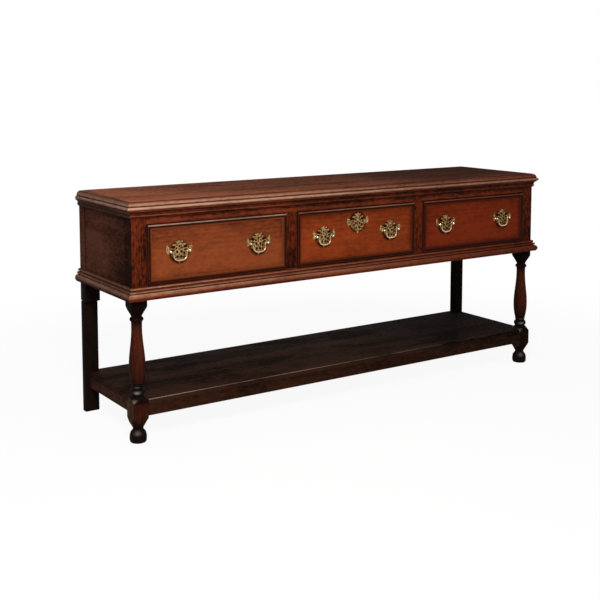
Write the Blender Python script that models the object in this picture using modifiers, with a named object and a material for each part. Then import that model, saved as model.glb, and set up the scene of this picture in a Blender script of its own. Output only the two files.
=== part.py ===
"""Oak dresser base: three drawers over turned front legs and a pot board.

Metres, +Z up. The front faces -Y and the length runs along X. The origin lies on the floor
under the middle of the whole piece. Rails are tenoned, panels are grooved in, drawers are
dovetailed and slide on runners, and every pull is a pierced plate with a hinged bail.
"""

from math import cos, pi, sin

import bmesh
import bpy
from mathutils import Matrix

# Fits
GAP = 0.0003                 # between faces that touch
ARRIS = 0.0012               # softened edges of the boards
TENON_LENGTH = 0.022
STUB_LENGTH = 0.012          # short tenons of the rear legs and muntins
TENON_THICKNESS = 0.009
TENON_SHOULDER = 0.006       # tenon inside the rail's upper and lower edges
TENON_ROOT = 0.005           # how far a tenon is modelled back into its own rail
TENON_WALL = 0.002           # wood between a runner's tenon and the muntin's
GROOVE_DEPTH = 0.008         # grooves that hold the end and back panels

# Carcass
CARCASS_LENGTH = 1.900
CARCASS_DEPTH = 0.455
CARCASS_HEIGHT = 0.3065
LEG_LENGTH = 0.500           # floor to the underside of the carcass
POST = 0.057                 # square of the front posts and width of the rear ones
REAR_POST_DEPTH = 0.050
RAIL_THICKNESS = 0.025
TOP_RAIL_REVEAL = 0.023      # top rail showing under the cove moulding
BOTTOM_RAIL_REVEAL = 0.0025  # bottom rail showing over the waist moulding
REAR_RAIL_THICKNESS = 0.022
MUNTIN_WIDTH = 0.044
PANEL_THICKNESS = 0.015
END_PANEL_INSET = 0.003      # end panel behind the outer face of the posts
BACK_PANEL_INSET = 0.005

# Rear legs below the carcass
REAR_LEG_DEPTH = 0.027
REAR_HEAD_DROP_LEFT = 0.076  # the left post keeps its full depth this far down
REAR_HEAD_DROP_RIGHT = 0.001

# Turned front legs, heights from the floor up to the block
FOOT_HEIGHT = 0.046
FOOT_RADIUS = 0.0300
FOOT_FULLEST = 0.0185        # height of the foot's fullest part
FOOT_SOLE_RADIUS = 0.0245
ANKLE_HEIGHT = 0.006
ANKLE_RADIUS = 0.0190
LOWER_SHOULDER = 0.040       # tapered shoulder under the lower block
LOWER_BLOCK = 0.046
UPPER_SHOULDER = 0.029       # sloped shoulder turned over the lower block, with its quirk
SHOULDER_QUIRK = 0.003
SHOULDER_RADIUS = 0.0215     # of the shoulder under the quirk
SHOULDER_BEND = (0.0270, 0.0040)  # where it turns down: a radius, and a depth below its top
TORUS_HEIGHT = 0.021
TORUS_RADIUS = 0.0258
WAIST_HEIGHT = 0.008         # plain neck over the torus
WAIST_RADIUS = 0.0200
BELLY_RISE = 0.068           # from the neck to the fullest part of the baluster
BELLY_RADIUS = 0.0288
BELLY_HOLD = 0.50            # share of that rise over which it stays full
# and from the carcass down
UPPER_BLOCK_DROP = 0.0185    # square block showing under the waist moulding
CUP_HEIGHT = 0.0385          # tapered shoulder under that block
NECK_HEIGHT = 0.0055
NECK_RADIUS = 0.0190
COLLAR_HEIGHT = 0.013
COLLAR_RADIUS = 0.0240
SHAFT_RADIUS = 0.0188
SHAFT_DROP = 0.0245          # slender length under the collar
TAPER_BEND = (0.32, 0.40)    # where a tapered shoulder bends, as shares of its reach and height
CORNER_CLEARANCE = 0.002     # turning radius beyond the corners of the square blocks
TURNING_STEPS = 16

# Top and its thumb-moulded edge
TOP_STEP = 0.002
TOP_OVOLO_HEIGHT = 0.011
TOP_OVOLO_OUT = 0.0135
TOP_OVOLO_WIDTH = 0.0105
TOP_QUIRK = 0.0015
NOSING_HEIGHT = 0.0155
NOSING_OUT = 0.0200

# Cove moulding under the top
COVE_FILLET = 0.003
COVE_HOLLOW = 0.0135
COVE_OUT = 0.0145
COVE_HOLLOW_DEPTH = 0.0095
COVE_BEAD = 0.0075
COVE_BEAD_SWELL = 0.0035
COVE_BASE = 0.0025
COVE_BASE_OUT = 0.0025

# Waist moulding: two reeds over a torus
WAIST_REED = 0.010           # height of each reed
WAIST_QUIRK = 0.001          # fillet between the reeds
WAIST_REED_OUT = (0.0080, 0.0130)
WAIST_REED_SWELL = 0.005
WAIST_TORUS = 0.0205
WAIST_TORUS_OUT = 0.0210
WAIST_TORUS_SWELL = 0.009
WAIST_TORUS_FULLEST = 0.0072  # its fullest line above its lower edge
WAIST_TORUS_UNDER = 0.0045   # how far it turns under from there
WAIST_BASE = 0.003
WAIST_BASE_OUT = 0.0175

# Pot board
POT_RISE = 0.0135            # upper face over the squared part of the leg block
POT_BOARD_THICKNESS = 0.018
POT_RAIL_HEIGHT = 0.040
POT_RAIL_THICKNESS = 0.022
POT_REAR_RAIL_THICKNESS = 0.020
POT_FRONT_INSET = 0.002
POT_END_INSET = 0.018

# Drawers
DRAWER_NAMES = ("left", "middle", "right")
DRAWER_SIDE_PLAY = 0.0015
DRAWER_TOP_PLAY = 0.0025
DRAWER_STOP_PLAY = 0.0005    # drawer end to back panel when shut
FIELD_SETBACK = 0.001        # drawer field behind the face of the rails
FRONT_THICKNESS = 0.020
SIDE_THICKNESS = 0.010
DRAWER_BACK_THICKNESS = 0.010
DRAWER_BACK_INSET = 0.006    # drawer back ahead of the rear ends of its sides
DRAWER_BACK_DROP = 0.006
HOUSING_DEPTH = 0.004
SIDE_DROP = 0.008            # drawer sides lower than the front
BOTTOM_THICKNESS = 0.007
BOTTOM_RISE = 0.009
BOTTOM_GROOVE = 0.004        # groove in the sides
BOTTOM_TONGUE = 0.006        # groove in the front
GROOVE_STOP = 0.002
LAP = 0.007                  # wood left in front of the dovetail sockets
TAIL_COUNT = 3
TAIL_PIN = 0.018
TAIL_SLOPE = 0.004

# Applied moulding round each drawer field
BORDER_WIDTH = 0.018
BORDER_SIDE = 0.0055         # height of its outer side
BORDER_BEAD = 0.0070         # width of its outer bead
BORDER_PROUD = 0.0085
BORDER_VALLEY = 0.0050
BORDER_INNER = 0.0018

# Drawer runners
BEARER_HEIGHT = 0.024
BEARER_LAP = 0.024           # bearing under each drawer side
GUIDE_HEIGHT = 0.025

# Pulls, escutcheon and lock
PULL_INSET = 0.1215          # from the end of the drawer front to the middle of a pull
PULL_RISE = 0.0046           # post line above the middle of the drawer front
CROWN_HEIGHT = 0.0375        # crown of a plate above its post line
PLATE_THICKNESS = 0.002
POST_SPACING = 0.073
POST_REACH = 0.009           # hinge line in front of the plate's middle
STEM_RADIUS = 0.0024
STEM_TAIL = 0.004            # stem behind the drawer front
POST_COLLAR = 0.0042
POST_BALL = 0.0050
POST_STEPS = 8
PIN_RADIUS = 0.0017
PIN_CLEARANCE = 0.0003
BORE_SIDES = 6
BAIL_RADIUS = 0.0023
BAIL_NECK = 0.0015           # straight neck between post and bend
BAIL_SHANK = 0.012           # hinge line to the start of the bow
BAIL_BOW = 0.0205
BAIL_SQUARENESS = 0.75       # 1 bows it as an ellipse, less makes it squarer
BAIL_BEND = 0.005
ESCUTCHEON_DROP = 0.003      # its crown below the moulded border
KEYHOLE_RADIUS = 0.0032
KEYHOLE_SLOT = 0.0028
KEYHOLE_DROP = 0.0085
KEYHOLE_RISE = 0.004         # keyhole above the wing line
LOCK_WIDTH = 0.075
LOCK_HEIGHT = 0.072
LOCK_DEPTH = 0.013
LOCK_PROUD = 0.0015

# Levels and planes worked out from the sizes above
RUNNER_STUB = (RAIL_THICKNESS - TENON_THICKNESS) / 2 - TENON_WALL
COVE_HEIGHT = COVE_FILLET + COVE_HOLLOW + COVE_BEAD + COVE_BASE
WAIST_MOULDING_HEIGHT = WAIST_BASE + WAIST_TORUS + len(WAIST_REED_OUT) * (WAIST_REED + WAIST_QUIRK)
TOP_RAIL_HEIGHT = COVE_HEIGHT + TOP_RAIL_REVEAL
BOTTOM_RAIL_HEIGHT = WAIST_MOULDING_HEIGHT + BOTTOM_RAIL_REVEAL
LOWER_BLOCK_TOP = FOOT_HEIGHT + ANKLE_HEIGHT + LOWER_SHOULDER + LOWER_BLOCK
POT_TOP = LOWER_BLOCK_TOP + POT_RISE
BAIL_HALF_WIDTH = POST_SPACING / 2 - POST_BALL - BAIL_NECK - BAIL_BEND
CARCASS_TOP = LEG_LENGTH + CARCASS_HEIGHT
OVERHANG = max(NOSING_OUT, WAIST_TORUS_OUT)
FRONT_Y = OVERHANG / 2 - CARCASS_DEPTH / 2
BACK_Y = FRONT_Y + CARCASS_DEPTH
HALF = CARCASS_LENGTH / 2
OPENING_EDGE = HALF - POST
OPENING_WIDTH = (2 * OPENING_EDGE - 2 * MUNTIN_WIDTH) / 3
OPENING_PITCH = OPENING_WIDTH + MUNTIN_WIDTH
OPENING_BOTTOM = LEG_LENGTH + BOTTOM_RAIL_HEIGHT
OPENING_TOP = CARCASS_TOP - TOP_RAIL_HEIGHT
BACK_PANEL_FRONT = BACK_Y - BACK_PANEL_INSET - PANEL_THICKNESS
REAR_RAIL_FRONT = BACK_PANEL_FRONT - GAP - REAR_RAIL_THICKNESS
FIELD_Y = FRONT_Y + FIELD_SETBACK


def material(name, colour, roughness, metallic=0.0):
    """Principled material with one colour."""
    made = bpy.data.materials.new(name)
    made.use_nodes = True
    shader = made.node_tree.nodes["Principled BSDF"]
    shader.inputs["Base Color"].default_value = (*colour, 1.0)
    shader.inputs["Roughness"].default_value = roughness
    shader.inputs["Metallic"].default_value = metallic
    return made


def linked(name, data, home, place=(0.0, 0.0, 0.0), carrier=None):
    """Object in a collection, at a place in the world, that may ride on a carrier."""
    obj = bpy.data.objects.new(name, data)
    home.objects.link(obj)
    obj.location = place
    if carrier:
        obj.parent = carrier
        obj.location = [p - c for p, c in zip(place, carrier.location)]
    return obj


def piece(name, data, finish, place=(0.0, 0.0, 0.0), carrier=None):
    """Named sub-part with its material."""
    data.materials.append(finish)
    return linked(name, data, parts, place, carrier)


def tool(data, place=(0.0, 0.0, 0.0)):
    """Hidden shape that a Boolean reads."""
    obj = linked("tool", data, tools, place)
    obj.hide_render = True
    obj.display_type = 'WIRE'
    return obj


def boolean(target, other, operation):
    """Live Boolean with the exact solver."""
    change = target.modifiers.new(operation.lower(), 'BOOLEAN')
    change.operation = operation
    change.object = other
    change.solver = 'EXACT'


def mesh_of(bm, name):
    """Mesh data from a finished bmesh."""
    data = bpy.data.meshes.new(name)
    bm.to_mesh(data)
    bm.free()
    return data


def cube(x, y, z):
    """Box mesh about its own middle, and that middle, from three spans."""
    spans = (x, y, z)
    bm = bmesh.new()
    bmesh.ops.create_cube(bm, size=1.0)
    bmesh.ops.scale(bm, vec=[abs(b - a) for a, b in spans], verts=bm.verts)
    return mesh_of(bm, "box"), [(a + b) / 2 for a, b in spans]


def board(name, x, y, z, finish, carrier=None, arris=ARRIS):
    """Squared board with softened edges."""
    data, middle = cube(x, y, z)
    obj = piece(name, data, finish, middle, carrier)
    if arris:
        soft = obj.modifiers.new("arris", 'BEVEL')
        soft.width = arris
        soft.segments = 1
    return obj


def tool_box(x, y, z):
    """Box that a Boolean reads."""
    data, middle = cube(x, y, z)
    return tool(data, middle)


def grown(span, by=GAP):
    """Span made larger at both ends."""
    return min(span) - by, max(span) + by


def about(middle, size):
    """Span of a size about its middle."""
    return middle - size / 2, middle + size / 2


def tenon(rail, post, x, y, z):
    """Tenon on the rail, and its mortise one gap larger in the post."""
    boolean(rail, tool_box(x, y, z), 'UNION')
    boolean(post, tool_box(grown(x), grown(y), grown(z)), 'DIFFERENCE')


def end_tenons(rail, posts, edge, length, y_middle, z):
    """Tenons at both ends of a rail along X, whose shoulders lie at -edge and +edge."""
    height = (min(z) + TENON_SHOULDER, max(z) - TENON_SHOULDER)
    for side, post in zip((-1, 1), posts):
        reach = (side * (edge - TENON_ROOT), side * (edge + length))
        tenon(rail, post, reach, about(y_middle, TENON_THICKNESS), height)


def arc(centre, radii, start, end, steps):
    """Points on an ellipse, angles in degrees."""
    turn = [(start + (end - start) * i / steps) * pi / 180 for i in range(steps + 1)]
    return [(centre[0] + radii[0] * cos(a), centre[1] + radii[1] * sin(a)) for a in turn]


def bow(start, bend, end, steps):
    """Points on a curve from start to end, drawn towards bend."""
    points = []
    for i in range(steps + 1):
        t = i / steps
        points.append(tuple((1 - t) ** 2 * s + 2 * t * (1 - t) * b + t * t * e
                            for s, b, e in zip(start, bend, end)))
    return points


def sweep(start, end, steps):
    """Points on an S-curve that leaves start and reaches end without a corner."""
    points = []
    for i in range(steps + 1):
        t = i / steps
        blend = (1 - cos(pi * t)) / 2
        points.append((start[0] + (end[0] - start[0]) * blend, start[1] + (end[1] - start[1]) * t))
    return points


def loft(rings, name, closed=False):
    """Solid through rings of equal count, capped, or closed on itself like a frame."""
    bm = bmesh.new()
    loops = [[bm.verts.new(point) for point in ring] for ring in rings]
    for one, two in zip(loops, loops[1:] + loops[:1] if closed else loops[1:]):
        for i, vertex in enumerate(one):
            j = (i + 1) % len(one)
            bm.faces.new((vertex, one[j], two[j], two[i]))
    if not closed:
        bm.faces.new(loops[0])
        bm.faces.new(loops[-1])
    bmesh.ops.recalc_face_normals(bm, faces=bm.faces)
    return mesh_of(bm, name)


# A flat outline is drawn in X and Y and then stood up in one of these planes.
PLAN = Matrix(((1, 0, 0, 0), (0, 1, 0, 0), (0, 0, 1, 0), (0, 0, 0, 1)))
FRONT_VIEW = Matrix(((1, 0, 0, 0), (0, 0, -1, 0), (0, 1, 0, 0), (0, 0, 0, 1)))
END_VIEW = Matrix(((0, 0, 1, 0), (1, 0, 0, 0), (0, 1, 0, 0), (0, 0, 0, 1)))
WELD = 0.000001


def cut_out(name, rings, thickness, plane):
    """Flat plate from an outline and its holes, as a mesh about its own middle plane."""
    curve = bpy.data.curves.new(name, 'CURVE')
    curve.dimensions = '2D'
    curve.fill_mode = 'BOTH'
    curve.extrude = thickness / 2
    for ring in rings:
        spline = curve.splines.new('POLY')
        spline.points.add(len(ring) - 1)
        for point, place in zip(spline.points, ring):
            point.co = (*place, 0.0, 1.0)
        spline.use_cyclic_u = True
    sketch = linked(name, curve, tools)
    data = bpy.data.meshes.new_from_object(sketch.evaluated_get(bpy.context.evaluated_depsgraph_get()))
    bpy.data.objects.remove(sketch)
    bm = bmesh.new()
    bm.from_mesh(data)
    bmesh.ops.remove_doubles(bm, verts=bm.verts, dist=WELD)
    bmesh.ops.recalc_face_normals(bm, faces=bm.faces)
    bm.to_mesh(data)
    bm.free()
    data.transform(plane)
    return data


def turned(name, profile):
    """Mesh of a profile of (radius, height) points from top to bottom."""
    bm = bmesh.new()
    vertices = [bm.verts.new((radius, 0.0, height)) for radius, height in profile]
    for one, two in zip(vertices, vertices[1:]):
        bm.edges.new((one, two))
    return mesh_of(bm, name)


def spin(obj, steps):
    """Screw modifier that turns a profile about the object's own Z axis."""
    screw = obj.modifiers.new("turning", 'SCREW')
    screw.axis = 'Z'
    screw.angle = 2 * pi
    screw.steps = steps
    screw.render_steps = steps
    screw.use_merge_vertices = True
    screw.merge_threshold = 0.00001
    screw.use_smooth_shade = True


for old in list(bpy.data.objects):
    bpy.data.objects.remove(old, do_unlink=True)
parts = bpy.data.collections.new("dresser_base")
tools = bpy.data.collections.new("cutters")
for group in (parts, tools):
    bpy.context.scene.collection.children.link(group)

frame_oak = material("frame_oak", (0.105, 0.036, 0.017), 0.42)
dark_oak = material("dark_oak", (0.028, 0.014, 0.009), 0.45)
top_oak = material("top_oak", (0.130, 0.050, 0.026), 0.38)
moulding_oak = material("moulding_oak", (0.120, 0.045, 0.024), 0.40)
field_oak = material("field_oak", (0.210, 0.062, 0.022), 0.40)
lining_oak = material("lining_oak", (0.220, 0.130, 0.065), 0.65)
aged_brass = material("aged_brass", (0.420, 0.290, 0.120), 0.38, 1.0)
lock_iron = material("lock_iron", (0.090, 0.085, 0.080), 0.55, 1.0)


def taper(radius, level, end_radius, height):
    """Shoulder that tapers from a square block at a level down to a neck, as (radius, height)."""
    reach, rise = TAPER_BEND
    bend = (end_radius + reach * (radius - end_radius), level - (1 - rise) * height)
    return bow((radius, level), bend, (end_radius, level - height), 4)


def leg_profile():
    """Turned front leg, as (radius, height) from above the post down to the floor."""
    clear = POST / 2 * 2 ** 0.5 + CORNER_CLEARANCE
    block = LOWER_BLOCK_TOP - LOWER_BLOCK
    torus = LOWER_BLOCK_TOP + UPPER_SHOULDER
    shoulder = torus - SHOULDER_QUIRK
    waist = torus + TORUS_HEIGHT
    belly = waist + WAIST_HEIGHT + BELLY_RISE
    cup_top = LEG_LENGTH - UPPER_BLOCK_DROP
    cup = cup_top - CUP_HEIGHT
    collar_top = cup - NECK_HEIGHT
    collar = collar_top - COLLAR_HEIGHT
    shaft = collar - SHAFT_DROP

    points = [(0.0, CARCASS_TOP + CORNER_CLEARANCE), (clear, CARCASS_TOP + CORNER_CLEARANCE)]
    points += taper(clear, cup_top, NECK_RADIUS, CUP_HEIGHT)
    points += arc((NECK_RADIUS, (collar_top + collar) / 2),
                  (COLLAR_RADIUS - NECK_RADIUS, COLLAR_HEIGHT / 2), 90, -90, 4)
    points += sweep((SHAFT_RADIUS, shaft), (BELLY_RADIUS, belly), 5)
    points += bow((BELLY_RADIUS, belly), (BELLY_RADIUS, belly - BELLY_HOLD * BELLY_RISE),
                  (WAIST_RADIUS, waist + WAIST_HEIGHT), 4)[1:]
    points += arc((WAIST_RADIUS, (waist + torus) / 2),
                  (TORUS_RADIUS - WAIST_RADIUS, TORUS_HEIGHT / 2), 90, -90, 4)
    points += bow((SHOULDER_RADIUS, shoulder), (SHOULDER_BEND[0], shoulder - SHOULDER_BEND[1]), (clear, LOWER_BLOCK_TOP), 3)
    points += taper(clear, block, ANKLE_RADIUS, LOWER_SHOULDER)
    points += arc((ANKLE_RADIUS, FOOT_FULLEST),
                  (FOOT_RADIUS - ANKLE_RADIUS, FOOT_HEIGHT - FOOT_FULLEST), 90, 0, 4)
    points += bow((FOOT_RADIUS, FOOT_FULLEST), (FOOT_RADIUS, 0.0), (FOOT_SOLE_RADIUS, 0.0), 2)[1:]
    points += [(0.0, 0.0)]
    return points


def front_leg(side_name, side):
    """Corner post, turned leg and foot from one square blank."""
    middle = (side * (HALF - POST / 2), FRONT_Y + POST / 2)
    leg = piece(f"front_leg_{side_name}", turned("front_leg", leg_profile()), dark_oak, (*middle, 0.0))
    spin(leg, TURNING_STEPS)
    blank = tool_box(about(middle[0], POST), about(middle[1], POST), (-CORNER_CLEARANCE, CARCASS_TOP))
    boolean(leg, blank, 'INTERSECT')
    return leg


def rear_leg(side_name, side, head_drop):
    """Rear post, sawn back to a plank below its head."""
    x = about(side * (HALF - POST / 2), POST)
    leg = board(f"rear_leg_{side_name}", x, (BACK_Y - REAR_POST_DEPTH, BACK_Y), (0.0, CARCASS_TOP), dark_oak)
    waste_y = (BACK_Y - REAR_POST_DEPTH - POST, BACK_Y - REAR_LEG_DEPTH)
    boolean(leg, tool_box(grown(x, POST), waste_y, (-POST, LEG_LENGTH - head_drop)), 'DIFFERENCE')
    return leg


front_legs = [front_leg("left", -1), front_leg("right", 1)]
rear_legs = [rear_leg("left", -1, REAR_HEAD_DROP_LEFT), rear_leg("right", 1, REAR_HEAD_DROP_RIGHT)]


def tenoned_rail(name, legs, y, z, length, finish):
    """Rail between two legs, tenoned into both."""
    edge = OPENING_EDGE - GAP
    rail = board(name, (-edge, edge), y, z, finish)
    end_tenons(rail, legs, edge, length, sum(y) / 2, z)
    return rail


rail_y = (FRONT_Y, FRONT_Y + RAIL_THICKNESS)
top_rail = tenoned_rail("top_rail", front_legs, rail_y, (OPENING_TOP, CARCASS_TOP), TENON_LENGTH, frame_oak)
bottom_rail = tenoned_rail("bottom_rail", front_legs, rail_y, (LEG_LENGTH, OPENING_BOTTOM),
                           TENON_LENGTH, frame_oak)
rear_rail = tenoned_rail("rear_rail", rear_legs, (REAR_RAIL_FRONT, BACK_PANEL_FRONT - GAP),
                         (LEG_LENGTH, OPENING_BOTTOM), STUB_LENGTH, lining_oak)

for side_name, side in (("left", -1), ("right", 1)):
    x = about(side * OPENING_PITCH / 2, MUNTIN_WIDTH)
    muntin = board(f"muntin_{side_name}", x, rail_y, (OPENING_BOTTOM + GAP, OPENING_TOP - GAP), frame_oak)
    tongue_x = (min(x) + TENON_SHOULDER, max(x) - TENON_SHOULDER)
    tongue_y = about(sum(rail_y) / 2, TENON_THICKNESS)
    tenon(muntin, top_rail, tongue_x, tongue_y, (OPENING_TOP - TENON_ROOT, OPENING_TOP + STUB_LENGTH))
    tenon(muntin, bottom_rail, tongue_x, tongue_y, (OPENING_BOTTOM + TENON_ROOT, OPENING_BOTTOM - STUB_LENGTH))

    # End panel in grooves of the front and rear posts
    x = sorted((side * (HALF - END_PANEL_INSET), side * (HALF - END_PANEL_INSET - PANEL_THICKNESS)))
    y = (FRONT_Y + POST - GROOVE_DEPTH + GAP, BACK_Y - REAR_POST_DEPTH + GROOVE_DEPTH - GAP)
    z = (LEG_LENGTH, CARCASS_TOP)
    board(f"end_panel_{side_name}", x, y, z, dark_oak, arris=0.0)
    groove = tool_box(grown(x), grown(y), (LEG_LENGTH - GAP, CARCASS_TOP + GROOVE_DEPTH))
    for leg in (front_legs, rear_legs):
        boolean(leg[0 if side < 0 else 1], groove, 'DIFFERENCE')

# Back panel in grooves of the rear posts
x = (-OPENING_EDGE - GROOVE_DEPTH + GAP, OPENING_EDGE + GROOVE_DEPTH - GAP)
y = (BACK_PANEL_FRONT, BACK_PANEL_FRONT + PANEL_THICKNESS)
board("back_panel", x, y, (LEG_LENGTH, CARCASS_TOP), lining_oak, arris=0.0)
for leg in rear_legs:
    groove = tool_box(grown(x), grown(y), (LEG_LENGTH - GAP, CARCASS_TOP + GROOVE_DEPTH))
    boolean(leg, groove, 'DIFFERENCE')


def runner_tenons(runner, x, y):
    """Stub tenons of a runner in the bottom rail and the rear rail."""
    z = about(OPENING_BOTTOM - BEARER_HEIGHT / 2, TENON_THICKNESS)
    width = (min(x) + TENON_SHOULDER, max(x) - TENON_SHOULDER)
    tenon(runner, bottom_rail, width, (y[0] - RUNNER_STUB, y[0] + TENON_ROOT), z)
    tenon(runner, rear_rail, width, (y[1] - TENON_ROOT, y[1] + RUNNER_STUB), z)


run_y = (FRONT_Y + RAIL_THICKNESS + GAP, REAR_RAIL_FRONT - GAP)
bearer_z = (OPENING_BOTTOM - BEARER_HEIGHT, OPENING_BOTTOM)
for side_name, side in (("left", -1), ("right", 1)):
    # Shared runner behind a muntin: a bearer for two drawers with a guide along its middle
    middle = side * OPENING_PITCH / 2
    wide = MUNTIN_WIDTH / 2 + BEARER_LAP
    narrow = MUNTIN_WIDTH / 2
    tee = [(-wide, bearer_z[0]), (wide, bearer_z[0]), (wide, bearer_z[1]), (narrow, bearer_z[1]),
           (narrow, OPENING_BOTTOM + GUIDE_HEIGHT), (-narrow, OPENING_BOTTOM + GUIDE_HEIGHT),
           (-narrow, bearer_z[1]), (-wide, bearer_z[1])]
    data = cut_out("runner", [tee], run_y[1] - run_y[0], FRONT_VIEW)
    runner = piece(f"muntin_runner_{side_name}", data, lining_oak, (middle, sum(run_y) / 2, 0.0))
    runner_tenons(runner, about(middle, 2 * wide), run_y)

    # End runner: a bearer inside the posts, with a guide block against the end panel
    bearer_x = sorted((side * (OPENING_EDGE - GAP), side * (OPENING_EDGE - BEARER_LAP)))
    runner = board(f"end_runner_{side_name}", bearer_x, run_y, bearer_z, lining_oak, arris=0.0)
    guide_out = side * (HALF - END_PANEL_INSET - PANEL_THICKNESS - GAP)
    guide_y = (FRONT_Y + POST + GAP, BACK_Y - REAR_POST_DEPTH - GAP)
    guide = [(guide_out, bearer_z[0]), (side * (OPENING_EDGE - BEARER_LAP / 2), bearer_z[0]),
             (side * (OPENING_EDGE - BEARER_LAP / 2), OPENING_BOTTOM), (side * OPENING_EDGE, OPENING_BOTTOM),
             (side * OPENING_EDGE, OPENING_BOTTOM + GUIDE_HEIGHT), (guide_out, OPENING_BOTTOM + GUIDE_HEIGHT)]
    block = tool(cut_out("guide", [guide], guide_y[1] - guide_y[0], FRONT_VIEW), (0.0, sum(guide_y) / 2, 0.0))
    boolean(runner, block, 'UNION')
    runner_tenons(runner, bearer_x, run_y)


def top_edge():
    """Edge of the top as (overhang, height) from the upper face down."""
    flat = TOP_OVOLO_OUT - TOP_OVOLO_WIDTH
    base = CARCASS_TOP + GAP
    quirk_z = base + NOSING_HEIGHT
    ovolo_z = quirk_z + TOP_QUIRK
    upper = ovolo_z + TOP_OVOLO_HEIGHT + TOP_STEP
    root = TOP_OVOLO_OUT - TOP_QUIRK
    edge = [(flat, upper)]
    edge += arc((flat, ovolo_z), (TOP_OVOLO_WIDTH, TOP_OVOLO_HEIGHT), 90, 0, 5)
    edge += [(root, ovolo_z)]
    edge += arc((root, base + NOSING_HEIGHT / 2), (NOSING_OUT - root, NOSING_HEIGHT / 2), 90, -90, 6)
    return edge


rings = []
for out, z in top_edge():
    rings.append([(-HALF - out, FRONT_Y - out, z), (HALF + out, FRONT_Y - out, z),
                  (HALF + out, BACK_Y, z), (-HALF - out, BACK_Y, z)])
piece("top_board", loft(rings, "top_board"), top_oak)


def cove_section():
    """Cove under the top as (projection, height), closed along the wall."""
    hollow = CARCASS_TOP - COVE_FILLET - COVE_HOLLOW
    bead = hollow - COVE_BEAD
    inner = COVE_OUT - COVE_HOLLOW_DEPTH
    points = [(GAP, CARCASS_TOP), (COVE_OUT, CARCASS_TOP)]
    points += arc((COVE_OUT, hollow), (COVE_HOLLOW_DEPTH, COVE_HOLLOW), 90, 180, 5)
    points += arc((inner - COVE_BEAD_SWELL / 2, hollow - COVE_BEAD / 2),
                  (COVE_BEAD_SWELL, COVE_BEAD / 2), 80, -80, 4)
    points += [(COVE_BASE_OUT, bead), (COVE_BASE_OUT, bead - COVE_BASE), (GAP, bead - COVE_BASE)]
    return points


def waist_section():
    """Waist moulding as (projection, height): reeds over a torus, closed along the wall."""
    base = LEG_LENGTH
    torus = base + WAIST_BASE
    level = base + WAIST_MOULDING_HEIGHT
    points = [(GAP, level)]
    for out in WAIST_REED_OUT:
        points += arc((out - WAIST_REED_SWELL, level - WAIST_REED / 2),
                      (WAIST_REED_SWELL, WAIST_REED / 2), 90, -90, 5)
        level -= WAIST_REED + WAIST_QUIRK
        points.append((out - WAIST_REED_SWELL, level))
    fullest = torus + WAIST_TORUS_FULLEST
    points += arc((WAIST_TORUS_OUT - WAIST_TORUS_SWELL, fullest),
                  (WAIST_TORUS_SWELL, WAIST_TORUS - WAIST_TORUS_FULLEST), 80, 0, 4)
    points += arc((WAIST_TORUS_OUT - WAIST_TORUS_UNDER, fullest),
                  (WAIST_TORUS_UNDER, WAIST_TORUS_FULLEST), 0, -70, 2)[1:]
    points += [(WAIST_BASE_OUT, torus), (WAIST_BASE_OUT, base), (GAP, base)]
    return points


def mitred_mouldings(name, section):
    """Front strip mitred at both ends, and two end strips mitred at the front."""
    ends = []
    for side in (-1, 1):
        ends.append([(side * (HALF + out - GAP), FRONT_Y - out, z) for out, z in section])
        start = [(side * (HALF + out), FRONT_Y - out + GAP, z) for out, z in section]
        finish = [(side * (HALF + out), BACK_Y, z) for out, z in section]
        strip = f"{name}_{'left' if side < 0 else 'right'}"
        piece(strip, loft([start, finish], strip), moulding_oak)
    piece(f"{name}_front", loft(ends, name), moulding_oak)


mitred_mouldings("cove_moulding", cove_section())
mitred_mouldings("waist_moulding", waist_section())

# Pot board: boards notched round the legs, on four tenoned rails
board_z = POT_TOP - POT_BOARD_THICKNESS
pot_z = (board_z - GAP - POT_RAIL_HEIGHT, board_z - GAP)
pot_front = FRONT_Y + POT_FRONT_INSET
pot_end = HALF - POT_END_INSET
tenoned_rail("pot_rail_front", front_legs, (pot_front, pot_front + POT_RAIL_THICKNESS), pot_z,
             TENON_LENGTH, dark_oak)
pot_back = (BACK_Y - REAR_LEG_DEPTH / 2 - POT_REAR_RAIL_THICKNESS / 2,
            BACK_Y - REAR_LEG_DEPTH / 2 + POT_REAR_RAIL_THICKNESS / 2)
tenoned_rail("pot_rail_rear", rear_legs, pot_back, pot_z, STUB_LENGTH, dark_oak)
for index, (side_name, side) in enumerate((("left", -1), ("right", 1))):
    x = sorted((side * pot_end, side * (pot_end - POT_RAIL_THICKNESS)))
    y = (FRONT_Y + POST + GAP, BACK_Y - REAR_LEG_DEPTH - GAP)
    rail = board(f"pot_rail_{side_name}", x, y, pot_z, dark_oak)
    tongue_x = about(sum(x) / 2, TENON_THICKNESS)
    tongue_z = (pot_z[0] + TENON_SHOULDER, pot_z[1] - TENON_SHOULDER)
    tenon(rail, front_legs[index], tongue_x, (y[0] - TENON_LENGTH, y[0] + TENON_ROOT), tongue_z)
    tenon(rail, rear_legs[index], tongue_x, (y[1] - TENON_ROOT, y[1] + STUB_LENGTH), tongue_z)
pot_board = board("pot_board", (-pot_end, pot_end), (pot_front, BACK_Y), (board_z, POT_TOP), dark_oak)
for side in (-1, 1):
    notch_x = sorted((side * (OPENING_EDGE - GAP), side * HALF))
    for notch_y in ((FRONT_Y - POST, FRONT_Y + POST + GAP), (BACK_Y - REAR_LEG_DEPTH - GAP, BACK_Y + POST)):
        boolean(pot_board, tool_box(notch_x, notch_y, (board_z - POST, POT_TOP + POST)), 'DIFFERENCE')


def mirrored(half):
    """Whole outline from its right half, which runs from the top middle to the bottom middle."""
    return half + [(-px, py) for px, py in reversed(half) if px > WELD]


MM = 0.001


def millimetres(points):
    """Points drawn in millimetres, in metres."""
    return [(px * MM, py * MM) for px, py in points]


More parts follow.
